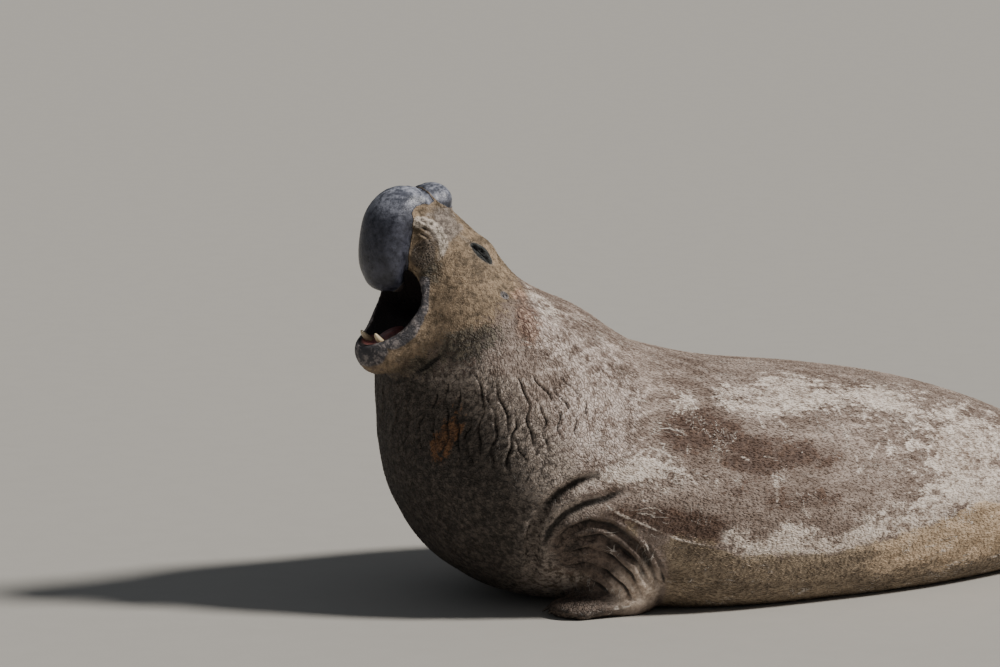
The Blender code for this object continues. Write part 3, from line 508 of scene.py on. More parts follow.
def neck_angle(p):
    middle = np.interp(p[:, 2], (0.49, 0.69, 0.82, 0.93, 1.01), (-0.020, -0.12, -0.19, -0.245, -0.275))
    return np.degrees(np.arctan2(-p[:, 1], middle - p[:, 0]))


CRACK_SPREAD = 0.0068    # metres of skin to one degree round the neck


def crack_path(start, down):
    """The angle of a crack, with down as a share of its length."""
    lean = math.copysign(0.11 * abs(start) - 4, start)
    return start + lean * down + 1.3 * np.sin(8 * down + start) + 0.6 * np.sin(21 * down + 2 * start)


def left_side(p):
    return np.stack([p[:, 0], -np.abs(p[:, 1]), p[:, 2]], 1)


def folds(p):
    """How deep the skin is drawn in, and how much of a crease, a crack or a scar each point lies in."""
    side = left_side(p)
    sink = 0.030 * patch(p, (-0.055, 0.0, 1.105), (0.13, 0.34, 0.11), -30)
    crease = np.zeros(len(p))
    scar = np.zeros(len(p))
    for line, depth, half in CREASES:
        far, share = off_line(side, line)
        taper = np.sqrt(np.clip(np.minimum(share, 1 - share) * 6, 0, 1))
        swell = 0.35 * np.exp(-((far - 2.2 * half) / (0.9 * half)) ** 2)
        sink += taper * depth * (np.exp(-(far / half) ** 2) - swell)
        crease = np.maximum(crease, taper * np.exp(-(far / (0.8 * half)) ** 2))
    for line in SCARS:
        far, share = off_line(side, line)
        taper = np.clip(np.minimum(share, 1 - share) * 8, 0, 1)
        sink -= taper * 0.0020 * np.exp(-(far / 0.005) ** 2)
        scar = np.maximum(scar, taper * np.exp(-(far / 0.0045) ** 2))
    angle = neck_angle(p)
    for start, top, length in CRACKS:
        down = (top - p[:, 2]) / length
        far = np.abs(angle - crack_path(start, down)) * CRACK_SPREAD
        taper = ease(down * 5) * ease((1 - down) * 5) * (0.75 + 0.25 * np.sin(14 * down + 3 * start))
        sink += taper * 0.0085 * (np.exp(-(far / 0.0038) ** 2) - 0.3 * np.exp(-((far - 0.009) / 0.006) ** 2))
        crease = np.maximum(crease, taper * np.exp(-(far / 0.0034) ** 2))
    return sink, crease, scar


def spots_to_refine(p):
    """How many extra cuts each spot needs: most at the lids, the cracks and the scars."""
    side = left_side(p)
    cuts = np.zeros(len(p), int)
    for line, _, half in CREASES:
        far = off_line(side, line)[0]
        cuts = np.maximum(cuts, np.where(far < 2.6 * half + 0.006, 1 if half > 0.01 else 2, 0))
    for line in SCARS:
        cuts = np.maximum(cuts, np.where(off_line(side, line)[0] < 0.010, 2, 0))
    angle = neck_angle(p)
    for start, top, length in CRACKS:
        down = (top - p[:, 2]) / length
        far = np.abs(angle - crack_path(start, down)) * CRACK_SPREAD
        cuts = np.maximum(cuts, np.where((far < 0.013) & (down > -0.05) & (down < 1.05), 2, 0))
    for centre, reach in ((EYE, 0.055), ((-0.508, -0.036, 1.128), 0.035), ((-0.254, -0.254, 1.088), 0.025)):
        cuts = np.maximum(cuts, np.where(np.linalg.norm(side - centre, axis=1) < reach, 2, 0))
    return cuts


def refined(points, faces):
    """The faces cut finer where the skin has its finest forms."""
    shell = bmesh.new()
    corners = [shell.verts.new(p) for p in points]
    kept = [shell.faces.new([corners[i] for i in face]) for face in faces]
    wanted = spots_to_refine(points[faces].mean(1))
    for cuts in (1, 2):
        chosen = {edge for face, number in zip(kept, wanted) if face.is_valid and number == cuts
                  for edge in face.edges}
        bmesh.ops.subdivide_edges(shell, edges=list(chosen), cuts=cuts, use_grid_fill=True)
    bmesh.ops.triangulate(shell, faces=[face for face in shell.faces if len(face.verts) > 4])
    shell.verts.index_update()
    out = np.array([tuple(v.co) for v in shell.verts])
    rings = [[v.index for v in face.verts] for face in shell.faces]
    pairs = np.array([[v.index for v in edge.verts] for edge in shell.edges])
    shell.free()
    return out, rings, pairs


def evened(points, pairs, rounds, share):
    """Each point drawn towards the middle of the points that it shares an edge with."""
    ends = np.concatenate([pairs, pairs[:, ::-1]])
    number = np.maximum(np.bincount(ends[:, 0], minlength=len(points)), 1)[:, None]
    for _ in range(rounds):
        total = np.stack([np.bincount(ends[:, 0], points[ends[:, 1], i], len(points)) for i in range(3)], 1)
        points = points + (total / number - points) * share[:, None]
    return points


def outward(points, pairs, rings):
    """The direction out of the skin at each point."""
    flat = np.array([(r[0], r[1], r[2]) for r in rings] + [(r[0], r[2], r[3]) for r in rings if len(r) == 4])
    facing = np.cross(points[flat[:, 1]] - points[flat[:, 0]], points[flat[:, 2]] - points[flat[:, 0]])
    total = np.stack([sum(np.bincount(flat[:, k], facing[:, i], len(points)) for k in range(3))
                      for i in range(3)], 1)
    return total / np.maximum(np.linalg.norm(total, axis=1), 1e-12)[:, None]


def patch(p, centre, radii, tilt=0.0, soft=0.9):
    """A rounded region of the left side, fading out round its edge; the right side mirrors it."""
    turn = math.radians(tilt)
    off = left_side(p) - centre
    along = off[:, 0] * math.cos(turn) - off[:, 2] * math.sin(turn)
    rise = off[:, 0] * math.sin(turn) + off[:, 2] * math.cos(turn)
    far = np.linalg.norm(np.stack([along, off[:, 1], rise], 1) / radii, axis=1)
    return ease((1 + soft - far) / (2 * soft))


def markings(p, crease, scar):
    """How much of each marking, painted shade and painted highlight every point of the skin has; the finish
    breaks their edges up.
    """
    x, z = p[:, 0], p[:, 2]
    side = left_side(p)
    most = np.maximum.reduce
    lobe = middle_form(side, NOSE_LOBE)
    hump = ball(side, *NOSE_HUMP[:3])
    gape = middle_form(side, GAPE)
    rim = limb_form(side, LIP, (0, 1, 0))
    palm = limb_form(side, PALM, (0, 0, 1))
    arm = np.minimum(limb_form(side, ARM, (0, 1, 0)), palm)
    # The head: bare slate on the nose, the furred bridge, the mouth, the lips and the lids.
    bridge = ease((1.345 + 0.45 * (np.minimum(x, -0.43) + 0.55) - 0.6 * np.maximum(x + 0.41, 0) - z) / 0.012)
    bridge *= ease((x + 0.515) / 0.02)
    bridge = np.maximum(bridge, patch(p, (-0.470, -0.100, 1.362), (0.050, 0.06, 0.030), soft=0.3))
    slate = np.maximum(ease((0.013 - lobe) / 0.012), ease((0.010 - hump) / 0.012)) * (1 - bridge) * (z > 1.05)
    mouth = ease((0.0045 - gape) / 0.004) * (1 - slate)
    gum = patch(p, (-0.602, 0.0, 0.940), (0.050, 0.06, 0.030), soft=0.3) * mouth
    lip = ease((0.016 - rim) / 0.016) * (1 - mouth) * (1 - slate) * ease((1.19 - z) / 0.06)
    chin = patch(p, (-0.650, -0.02, 0.905), (0.052, 0.11, 0.060), soft=0.4)
    face = ease((((x + 0.39) * -0.55 + (z - 0.95) * 0.83) / 0.22) + 0.5)
    brow = patch(p, (-0.405, -0.11, 1.315), (0.085, 0.10, 0.055), -25)
    pad = ease((0.016 - limb_form(side, PAD_ROLL, (0, 1, 0))) / 0.014) * (1 - slate)
    # Whisker pores, and painted shade in the hollow under the pad's roll.
    pits = patch(p, (-0.490, -0.125, 1.228), (0.036, 0.06, 0.056), 20, soft=0.5) * (1 - 0.8 * pad)
    lid = patch(p, (-0.288, -0.168, 1.221), (0.050, 0.05, 0.021), 47, soft=0.3)
    slit = patch(p, (EYE[0] - 0.010, EYE[1] - 0.034, EYE[2] + 0.002), (0.027, 0.05, 0.0042), 45, soft=0.4)
    streak = patch(p, (-0.330, -0.140, 1.266), (0.036, 0.04, 0.008), 42, soft=0.4)
    ear = patch(p, (-0.254, -0.254, 1.088), (0.015, 0.03, 0.013), 20, soft=0.4)
    # The neck and the limbs: the calloused shield with its dark front, stains, mud on the face with painted
    # shade under the whisker pad, a darker band under the jaw, and the wet flippers with a painted highlight
    # on their folds above the hand.
    edge = np.interp(z, (0.0, 0.2, 0.4, 0.55, 0.70, 0.85, 0.98),
                     (0.07, 0.05, 0.03, -0.02, -0.19, -0.36, -0.46))
    shield = ease((edge - x) / 0.36 + 0.5) * (1 - face)
    front = ease((edge - 0.06 - x) / 0.20)
    nape = patch(p, (-0.215, -0.29, 0.985), (0.045, 0.12, 0.13), 20)
    # Mud on the lower cheek, painted shade under the whisker pad, and a darker band under the lower jaw.
    murk = most([patch(p, (-0.37, -0.24, 0.945), (0.13, 0.12, 0.050), -20),
                 0.8 * patch(p, (-0.475, -0.13, 1.18), (0.04, 0.05, 0.05)),
                 0.6 * patch(p, (-0.47, -0.13, 0.865), (0.11, 0.12, 0.030), -12)])
    rust = patch(p, (-0.425, -0.290, 0.640), (0.024, 0.06, 0.075), -4) * (p[:, 1] < 0)
    limb = most([ease((0.035 - arm) / 0.03) * (z < 0.45), ease((x - 2.50) / 0.12),
                 patch(p, (0.06, -0.52, 0.25), (0.13, 0.15, 0.12), soft=0.6)])
    hand = ease((0.03 - palm) / 0.03)
    # A painted highlight on the wet folds above the hand.
    wrist = patch(p, (0.225, -0.52, 0.105), (0.080, 0.12, 0.080), soft=0.5)
    # The trunk: an olive belly up to the line low, a pale band over it, and patches on the flank.
    low = np.interp(x, (0.0, 0.3, 0.56, 0.9, 1.07, 1.25, 1.37, 1.7, 2.3),
                    (0.40, 0.30, 0.205, 0.19, 0.215, 0.25, 0.30, 0.28, 0.16))
    olive = ease((low - z) / 0.10 + 0.5) * (1 - limb)
    golden = ease((x - 0.85) / 0.40) * ease((z - 0.03) / 0.12)
    pale = most([ease((z - low + 0.03) / 0.04) * ease((low + 0.14 - z) / 0.11) * ease((x - 0.46) / 0.16),
                 patch(p, (1.44, -0.40, 0.46), (0.26, 0.28, 0.14)),
                 0.8 * ease((x - 1.75) / 0.5) * ease((z - low) / 0.10),
                 patch(p, (0.80, -0.33, 0.70), (0.19, 0.20, 0.050)),
                 0.55 * patch(p, (0.36, -0.45, 0.70), (0.06, 0.12, 0.05)),
                 0.50 * patch(p, (0.20, -0.57, 0.50), (0.13, 0.10, 0.055)),
                 0.75 * patch(p, (1.15, -0.30, 0.66), (0.20, 0.20, 0.05)),
                 0.90 * patch(p, (-0.090, -0.20, 1.055), (0.050, 0.14, 0.065))]) * (1 - limb)
    dark = most([patch(p, (0.42, -0.53, 0.62), (0.16, 0.15, 0.066), 8),
                 0.80 * patch(p, (0.66, -0.56, 0.55), (0.22, 0.15, 0.055), 10),
                 0.90 * patch(p, (0.31, -0.58, 0.34), (0.20, 0.13, 0.050), 8),
                 0.40 * patch(p, (0.79, -0.60, 0.38), (0.13, 0.12, 0.038), -6),
                 0.28 * patch(p, (0.60, -0.59, 0.43), (0.17, 0.12, 0.050), 4)])
    rosy = most([patch(p, (0.02, -0.46, 0.72), (0.17, 0.25, 0.24)),
                 0.9 * patch(p, (-0.15, -0.33, 0.98), (0.09, 0.14, 0.12))]) * (1 - 0.9 * dark)
    bare = most([slate, mouth, lip, lid, 0.4 * limb, crease, chin])
    return {"slate": slate, "mouth": mouth, "lip": np.maximum(lip, chin), "face": face, "shield": shield,
            "front": front, "golden": golden, "limb": limb, "wrist": wrist, "hand": hand, "olive": olive,
            "pale": pale, "dark": dark, "rosy": rosy, "nape": nape, "murk": murk, "pad": pad, "pits": pits,
            "lid": np.maximum(lid, 0.35 * streak), "ear": ear, "slit": slit, "rust": rust, "brow": brow,
            "gum": gum, "crease": crease, "scar": scar, "hair": 1 - bare}


def hair_lie(p):
    """The way the hair lies: from the nose back over the body, down the neck, and out along the flippers."""
    x, z = p[:, 0], p[:, 2]
    down = ease((z - 0.30) / 0.50) * ease((0.50 - x) / 0.60)
    lie = np.stack([1 - 0.65 * down, 0 * x, -0.05 - 0.95 * down], 1)
    front = ease((-0.15 - x) / 0.15) * ease((0.55 - z) / 0.3)
    lie += front[:, None] * (0.2, 0, -0.8)
    hand = ease((0.16 - z) / 0.06) * (np.abs(p[:, 1]) > 0.28) * ease((0.30 - x) / 0.10)
    lie = lie * (1 - hand[:, None]) + hand[:, None] * (-1.0, 0, -0.1)
    return lie / np.linalg.norm(lie, axis=1)[:, None]


before = len(clay)
clay, rings, pairs = refined(clay, faces)
crisp = np.zeros(len(clay))
side = left_side(clay)
for centre, reach in ((EYE, 0.050), ((-0.508, -0.036, 1.128), 0.032), ((-0.254, -0.254, 1.088), 0.022)):
    crisp = np.maximum(crisp, ease((reach - np.linalg.norm(side - centre, axis=1)) / 0.012))
fine = np.zeros(len(clay))
fine[before:] = 0.5
clay = evened(clay, pairs, 3, fine)
clay += (settled(seal_form, clay) - clay) * crisp[:, None]
sink, crease, scar = folds(clay)
marks = markings(clay, crease, scar)
sink = sink + HAIR_DEPTH
body = clay - outward(clay, pairs, rings) * sink[:, None]
body = evened(body, pairs, 1, np.full(len(body), 0.2))
lie = posed(clay + 0.001 * hair_lie(clay)) - posed(clay)
place = posed(body)
place[:, 2] = np.maximum(place[:, 2], 0.0008)


def meshed(name, points, faces):
    mesh = bpy.data.meshes.new(name)
    mesh.from_pydata([tuple(p) for p in points], [], [tuple(int(i) for i in face) for face in faces])
    mesh.update()
    thing = bpy.data.objects.new(name, mesh)
    bpy.context.scene.collection.objects.link(thing)
    return thing


def faced_out(thing, merge=0.0):
    """Its doubles merged, and its faces turned outwards."""
    shell = bmesh.new()
    shell.from_mesh(thing.data)
    if merge:
        bmesh.ops.remove_doubles(shell, verts=shell.verts, dist=merge)
    bmesh.ops.recalc_face_normals(shell, faces=shell.faces)
    shell.to_mesh(thing.data)
    shell.free()
    thing.data.shade_smooth()


def written(mesh, name, values, kind="FLOAT"):
    made = mesh.attributes.new(name, kind, "POINT")
    made.data.foreach_set("value" if kind == "FLOAT" else "vector", np.asarray(values, np.float32).ravel())


skin = meshed("seal_skin", place, rings)
skin.data.shade_smooth()
written(skin.data, "clay", clay, "FLOAT_VECTOR")
written(skin.data, "lie", lie / np.linalg.norm(lie, axis=1)[:, None], "FLOAT_VECTOR")
for name, values in marks.items():
    written(skin.data, name, values)


class Value:
    """One number or colour in a material's nodes, so that sums on it can be written as sums."""

    def __init__(self, finish, socket):
        self.finish = finish
        self.socket = socket

    def sum(self, operation, first, second=None, third=None):
        sockets = {i: v for i, v in enumerate((first, second, third)) if v is not None}
        return self.finish.node("ShaderNodeMath", {"operation": operation}, sockets)

    def __add__(self, other):
        return self.sum("ADD", self, other)

    def __radd__(self, other):
        return self.sum("ADD", other, self)

    def __sub__(self, other):
        return self.sum("SUBTRACT", self, other)

    def __rsub__(self, other):
        return self.sum("SUBTRACT", other, self)

    def __mul__(self, other):
        return self.sum("MULTIPLY", self, other)

    def __rmul__(self, other):
        return self.sum("MULTIPLY", other, self)

    def most(self, other):
        return self.sum("MAXIMUM", self, other)

    def size(self):
        return self.sum("ABSOLUTE", self)

    def step(self, low, high):
        """0 at low, 1 at high, eased between."""
        return self.finish.node("ShaderNodeMapRange", {"interpolation_type": "SMOOTHSTEP"},
                                {"Value": self, "From Min": low, "From Max": high})


class Finish:
    """A material being made."""

    def __init__(self, name, **constants):
        self.material = bpy.data.materials.new(name)
        self.material.use_nodes = True
        self.nodes = self.material.node_tree.nodes
        self.links = self.material.node_tree.links
        self.shader = self.nodes["Principled BSDF"]
        for socket, value in constants.items():
            self.shader.inputs[socket.replace("_", " ")].default_value = value

    def node(self, kind, settings, sockets, out=0):
        made = self.nodes.new(kind)
        for name, value in settings.items():
            setattr(made, name, value)
        for name, value in sockets.items():
            if isinstance(value, Value):
                self.links.new(value.socket, made.inputs[name])
            else:
                made.inputs[name].default_value = value
        return Value(self, made.outputs[out])

    def mark(self, name):
        return self.node("ShaderNodeAttribute", {"attribute_name": name}, {}, "Fac")

    def spot(self, name="clay"):
        return self.node("ShaderNodeAttribute", {"attribute_name": name}, {}, "Vector")

    def object_spot(self):
        return self.node("ShaderNodeTexCoord", {}, {}, "Object")

    def stretched(self, spot, scale, turn=(0, 0, 0)):
        return self.node("ShaderNodeMapping", {}, {"Vector": spot, "Scale": scale, "Rotation": turn})

    def noise(self, spot, scale, detail=3.0, roughness=0.5, distortion=0.0):
        return self.node("ShaderNodeTexNoise", {}, {"Vector": spot, "Scale": scale, "Detail": detail,
                                                    "Roughness": roughness, "Distortion": distortion})

    def cells(self, spot, scale, feature="F1", randomness=1.0):
        return self.node("ShaderNodeTexVoronoi", {"feature": feature}, {"Vector": spot, "Scale": scale,
                                                                         "Randomness": randomness})

    def blend(self, share, first, second, how="MIX"):
        """From the first colour to the second."""
        first = first if isinstance(first, Value) else (*first, 1.0)
        second = second if isinstance(second, Value) else (*second, 1.0)
        return self.node("ShaderNodeMix", {"data_type": "RGBA", "blend_type": how, "clamp_factor": True},
                         {0: share, 6: first, 7: second}, 2)

    def bump(self, height, strength, distance, under=None):
        sockets = {"Height": height, "Strength": strength, "Distance": distance}
        if under is not None:
            sockets["Normal"] = under
        return self.node("ShaderNodeBump", {}, sockets)

    def give(self, **values):
        for name, value in values.items():
            self.links.new(value.socket, self.shader.inputs[name.replace("_", " ")])
        return self.material


def hide_colour(finish):
    """The markings that the skin and the hair share, with the painted shade and highlights among them, and
    the patterns that break them up.
    """
    spot = finish.spot()
    broad = finish.noise(spot, 2.6, 4.0, 0.6)
    combed = finish.noise(finish.stretched(spot, (0.36, 1.0, 1.0)), 17.0, 7.0, 0.72)
    patchy = finish.noise(spot, 13.0, 7.0, 0.68)
    fleck = finish.noise(spot, 52.0, 4.0, 0.72)
    fine = finish.noise(spot, 210.0, 3.0, 0.65)
    drift = finish.noise(finish.stretched(spot, (0.6, 1.0, 1.0)), 6.5, 4.0, 0.62)
    ragged = (drift - 0.5) * 1.8 + (combed - 0.5) * 2.4 + (patchy - 0.5) * 1.0 + (fleck - 0.5) * 1.7

    def shown(name, width=0.16, wild=0.75):
        zone = finish.mark(name)
        return (zone + ragged * wild).step(0.5 - width, 0.5 + width) * zone.step(0.02, 0.20)

    def over(below, share, pattern, dark, light):
        """A marking of two tones, mixed by a pattern, laid over the colour below it."""
        return finish.blend(share, below, finish.blend(pattern, dark, light))

    # The trunk: brown with paler wisps, dark, rosy and pale patches, and an olive belly, golden to the rear.
    ground = (combed + fleck * 0.7 + broad * 0.5).step(0.86, 1.34)
    colour = finish.blend(ground, (0.190, 0.133, 0.103), (0.495, 0.403, 0.352))
    wisps = (combed * 0.8 + patchy * 0.3 + fleck * 0.4).step(0.78, 0.88)
    colour = finish.blend(wisps * 0.45, colour, (0.62, 0.51, 0.44))
    dark = finish.mark("dark")
    dark = (dark * 1.25 + ragged * 0.9).step(0.28, 0.72) * dark.step(0.02, 0.2)
    colour = over(colour, dark * 0.92, fleck.step(0.40, 0.74), (0.076, 0.039, 0.025), (0.184, 0.107, 0.071))
    mottle = (patchy * 0.6 + fleck * 0.8).step(0.50, 0.82)
    colour = over(colour, shown("rosy", 0.25) * 0.90, mottle, (0.320, 0.232, 0.190), (0.850, 0.725, 0.660))
    mottle = (combed * 0.6 + fleck * 0.7 + patchy * 0.4).step(0.68, 1.00)
    colour = over(colour, shown("pale", 0.20, 1.25) * 0.88, mottle, (0.36, 0.27, 0.215), (0.98, 0.88, 0.79))
    belly = finish.blend((combed * 0.6 + fleck * 0.7).step(0.50, 0.82), (0.140, 0.104, 0.070),
                         (0.400, 0.310, 0.212))
    belly = over(belly, shown("golden", 0.3) * 0.9, (combed + fleck * 0.4).step(0.55, 0.85),
                 (0.37, 0.265, 0.165), (0.76, 0.585, 0.415))
    colour = finish.blend(shown("olive", 0.14, 0.50) * 0.93, colour, belly)
    # The neck: a grey-brown calloused shield, almost black in front, then the tan face over it, stains, mud
    # low on the cheek, painted shade under the whisker pad, and a darker band under the lower jaw.
    shield = finish.blend((patchy * 0.5 + fleck * 1.1).step(0.60, 0.94), (0.090, 0.070, 0.058),
                          (0.540, 0.450, 0.385))
    shield = over(shield, finish.mark("front") * 0.88, fleck.step(0.45, 0.72),
                  (0.022, 0.017, 0.013), (0.110, 0.086, 0.068))
    colour = finish.blend(shown("shield", 0.30, 0.6), colour, shield)
    mottle = (patchy * 0.8 + fleck * 0.6).step(0.52, 0.90)
    colour = over(colour, shown("face", 0.25, 0.5), mottle, (0.105, 0.074, 0.043), (0.400, 0.290, 0.190))
    colour = over(colour, shown("brow", 0.2, 0.5) * 0.75, fleck.step(0.4, 0.66),
                  (0.100, 0.084, 0.075), (0.325, 0.284, 0.258))
    colour = over(colour, shown("nape", 0.25) * 0.8, fleck.step(0.4, 0.65),
                  (0.125, 0.052, 0.028), (0.600, 0.400, 0.300))
    # Mud on the lower cheek, painted shade under the whisker pad, and a darker band under the lower jaw.
    colour = over(colour, shown("murk", 0.20) * 0.85, fleck.step(0.42, 0.68),
                  (0.030, 0.026, 0.019), (0.230, 0.200, 0.150))
    # The limbs: dark brown, with a painted highlight on the wet folds above the hand. A rusty stain is on the
    # left of the neck.
    mottle = (patchy + fleck * 0.6).step(0.60, 0.98)
    colour = over(colour, shown("limb", 0.3, 0.4) * 0.9, mottle, (0.036, 0.024, 0.018), (0.170, 0.120, 0.092))
    colour = over(colour, finish.mark("hand") * 0.6, fleck.step(0.4, 0.6), (0.062, 0.046, 0.036),
                  (0.140, 0.100, 0.078))
    # The painted highlight on the wet folds above the hand, pale over the dark limb.
    colour = over(colour, finish.mark("wrist") * 0.9, fleck.step(0.35, 0.7), (0.50, 0.385, 0.30),
                  (0.98, 0.82, 0.69))
    colour = over(colour, shown("rust", 0.10, 1.3) * 0.6, fleck.step(0.4, 0.6),
                  (0.085, 0.035, 0.012), (0.36, 0.150, 0.045))
    # The head: the pale roll over the pad, its whisker pores with painted shade in the hollow under the roll,
    # the lips, the dark lids round the slit with painted shade in the slit itself, and the ear.
    colour = over(colour, shown("pad", 0.2, 0.25) * 0.9, (fleck + fine * 0.5).step(0.62, 0.86),
                  (0.15, 0.125, 0.098), (0.70, 0.61, 0.525))
    # Whisker pores, darkened to near black as painted shade in the hollow under the roll.
    pores = finish.cells(finish.stretched(spot, (1.0, 1.0, 0.8), (0, 0.35, 0)), 105.0, randomness=0.55)
    colour = over(colour, shown("pits", 0.2, 0.35) * 0.95, pores.step(0.42, 0.20),
                  (0.120, 0.094, 0.072), (0.008, 0.007, 0.006))
    colour = over(colour, shown("lip", 0.15, 0.3) * 0.92, (fleck + (patchy - 0.5)).step(0.48, 0.66),
                  (0.058, 0.057, 0.068), (0.270, 0.240, 0.240))
    lid = finish.mark("lid")
    colour = finish.blend(lid.step(0.05, 0.30) * 0.45, colour, (0.30, 0.245, 0.195))
    colour = over(colour, lid.step(0.30, 0.60), fleck.step(0.35, 0.65), (0.010, 0.011, 0.011),
                  (0.046, 0.049, 0.047))
    # The walls of the slit between the lids are painted black: painted shade in the gap.
    colour = finish.blend(finish.mark("slit").step(0.35, 0.65), colour, (0.004, 0.004, 0.004))
    colour = over(colour, finish.mark("ear").step(0.2, 0.8) * 0.8, fleck.step(0.4, 0.6),
                  (0.06, 0.06, 0.065), (0.26, 0.25, 0.27))
    # The nose: bare blue-black slate, paler and bluer on top with dust and a painted sky reflection, and the
    # inside of the mouth painted near black as painted shade, with its gum.
    height = finish.node("ShaderNodeSeparateXYZ", {}, {"Vector": spot}, 2)
    # Paler and bluer towards the top of the nose: partly dust, partly a painted sky reflection.
    dust_and_sky_sheen = (height + (broad - 0.5) * 0.10 + (patchy - 0.5) * 0.05).step(1.335, 1.475)
    mottle = (broad * 0.4 + patchy * 0.7 + fleck * 0.4).step(0.58, 1.00)
    slate = finish.blend(mottle, (0.010, 0.011, 0.018), (0.080, 0.083, 0.112))
    slate = over(slate, dust_and_sky_sheen * 0.75, (patchy + (fleck - 0.5) * 0.6).step(0.34, 0.66),
                 (0.13, 0.14, 0.18), (0.58, 0.60, 0.70))
    colour = finish.blend((finish.mark("slate") + ragged * 0.20).step(0.42, 0.56), colour, slate)
    # The inside of the mouth painted near black over its pink flesh: painted shade.
    colour = finish.blend(finish.mark("mouth").step(0.3, 0.7), colour, (0.012, 0.006, 0.006))
    colour = finish.blend(finish.mark("gum").step(0.3, 0.8), colour, (0.26, 0.085, 0.075))
    # Scratches and nicks on the flank: short pale lines, most of them upright, a few along the body.
    flank = finish.mark("face").step(0.5, 0.0) * finish.mark("shield").step(0.7, 0.1)
    flank = flank * finish.mark("slate").step(0.5, 0.0)
    upright = finish.noise(finish.stretched(spot, (1.0, 1.0, 0.32), (0, 0.25, 0)), 30.0, 2.0, 0.5, 1.2)
    lying = finish.noise(finish.stretched(spot, (0.24, 1.0, 1.0), (0, -0.35, 0)), 26.0, 2.0, 0.5, 0.8)
    some = finish.noise(spot, 7.0, 3.0, 0.6)
    nick = ((upright - 0.5).size().step(0.024, 0.008) * some.step(0.57, 0.62)).most(
        (lying - 0.5).size().step(0.018, 0.005) * some.step(0.42, 0.37))
    colour = finish.blend(nick * flank * 0.75, colour, (0.78, 0.70, 0.63))
    colour = finish.blend((finish.mark("scar") + (fleck - 0.5) * 1.1).step(0.30, 0.7) * 0.70, colour,
                          (0.85, 0.75, 0.67))
    # Creases and cracks painted near black: painted shade in the folds.
    colour = finish.blend(finish.mark("crease").step(0.15, 0.80) * 0.90, colour, (0.012, 0.009, 0.007))
    return colour, {"fleck": fleck, "fine": fine, "spot": spot, "nick": nick * flank}


hide = Finish("hide", Specular_IOR_Level=0.45)
colour, grain = hide_colour(hide)
bare = hide.mark("slate").step(0.4, 0.6)
limb = hide.mark("limb").step(0.4, 0.9)
neck = hide.mark("shield").most(hide.mark("rosy")).step(0.15, 0.6)
rough = 0.66 - bare * 0.33 - hide.mark("wrist") * 0.34 - limb * 0.10 + (grain["fleck"] - 0.5) * 0.3
cracked = hide.cells(grain["spot"], 62.0, "DISTANCE_TO_EDGE").step(0.0, 0.14) * neck
lump = hide.noise(grain["spot"], 34.0, 5.0, 0.7) * (neck + 0.25)
brushed = hide.noise(hide.stretched(grain["spot"], (0.22, 1.0, 1.0)), 150.0, 3.0, 0.6)
crust = hide.cells(grain["spot"], 120.0).step(0.5, 0.1) * hide.mark("murk") * 1.6
relief = (grain["fine"] * 0.5 + grain["fleck"] * 1.0 + lump * 2.2 + brushed * 0.8) * (1 - bare * 0.65)
relief = relief + cracked * 0.9 + grain["nick"] * 0.7 + crust
hide.give(Base_Color=colour, Roughness=rough, Normal=hide.bump(relief, 0.9, 0.006))
skin.data.materials.append(hide.material)
FLESH = ("head", "lower_jaw", "proboscis", "neck", "chest", "trunk", "loin", "hips", "rump",
         "foreflipper_left", "foreflipper_right", "hind_flipper_left", "hind_flipper_right")
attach(skin, "root")
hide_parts(*FLESH)

# The coat: short stiff hair that lies flat from nose to tail, set as small locks on the skin. It is longest
# on the trunk, shorter on the neck, shortest on the face and the flippers, and missing where it is bare.
LOCKS_PER_M2 = 14000.0
# A lock's root, middle and tip: along, half width and rise, in lock lengths.
LOCK = ((-0.03, 0.13, -0.10), (0.45, 0.10, 0.055), (1.0, 0.0, 0.11))
LOCK_POINTS = 7
PATCH = 0.003
PARTS = (
    ("coat_head_and_neck", -0.9, 0.62), ("coat_chest", 0.62, 1.00), ("coat_shoulders", 1.00, 1.33),
    ("coat_trunk", 1.33, 1.66), ("coat_loin", 1.66, 2.06), ("coat_hips", 2.06, 2.46),
    ("coat_rump", 2.46, 2.92), ("coat_tail", 2.92, 9.0),
)
SPINE = np.array(((-0.56, 1.42), (-0.46, 1.25), (-0.31, 1.07), (-0.19, 0.82), (0.0, 0.58),
                  (0.25, 0.45), (0.60, 0.38), (1.28, 0.33), (2.18, 0.19), (3.10, 0.12)))
BAKE_LENGTH = 4.7    # metres laid over 0.95 of the coat's picture; the spine's line is 4.17 m


def laid_flat(p):
    """How far along the spine each point lies, and its turn about the spine as a share of the whole turn."""
    flat = p[:, ::2]
    best = np.full(len(p), 9.0)
    along = np.zeros(len(p))
    turn = np.zeros(len(p))
    done = 0.0
    for start, end in zip(SPINE, SPINE[1:]):
        way = end - start
        size = np.linalg.norm(way)
        t = np.clip((flat - start) @ way / size ** 2, 0, 1)
        off = flat - start - t[:, None] * way
        far = np.hypot(np.hypot(off[:, 0], off[:, 1]), p[:, 1])
        above = (off @ (-way[1], way[0])) / size
        closer = far < best
        best = np.where(closer, far, best)
        along = np.where(closer, done + t * size, along)
        turn = np.where(closer, np.arctan2(p[:, 1], above) / (2 * math.pi) + 0.5, turn)
        done += size
    return along, turn


def lock_shape():
    """One lock: three sided, bent once, closed at its root and pointed at its tip."""
    (root, wide, low), (middle, narrow, rise), (tip, _, top) = LOCK
    shape = [(root, -wide, low), (root, wide, low), (root, 0, low + 0.10), (middle, -narrow, rise),
             (middle, narrow, rise), (middle, 0, rise + 0.07), (tip, 0, top)]
    faces = [(0, 1, 4, 3), (1, 2, 5, 4), (2, 0, 3, 5), (3, 4, 6), (4, 5, 6), (5, 3, 6), (2, 1, 0)]
    lock = meshed("lock", shape, faces)
    written(lock.data, "along_lock", [0, 0, 0, 0.5, 0.5, 0.5, 1])
    return lock


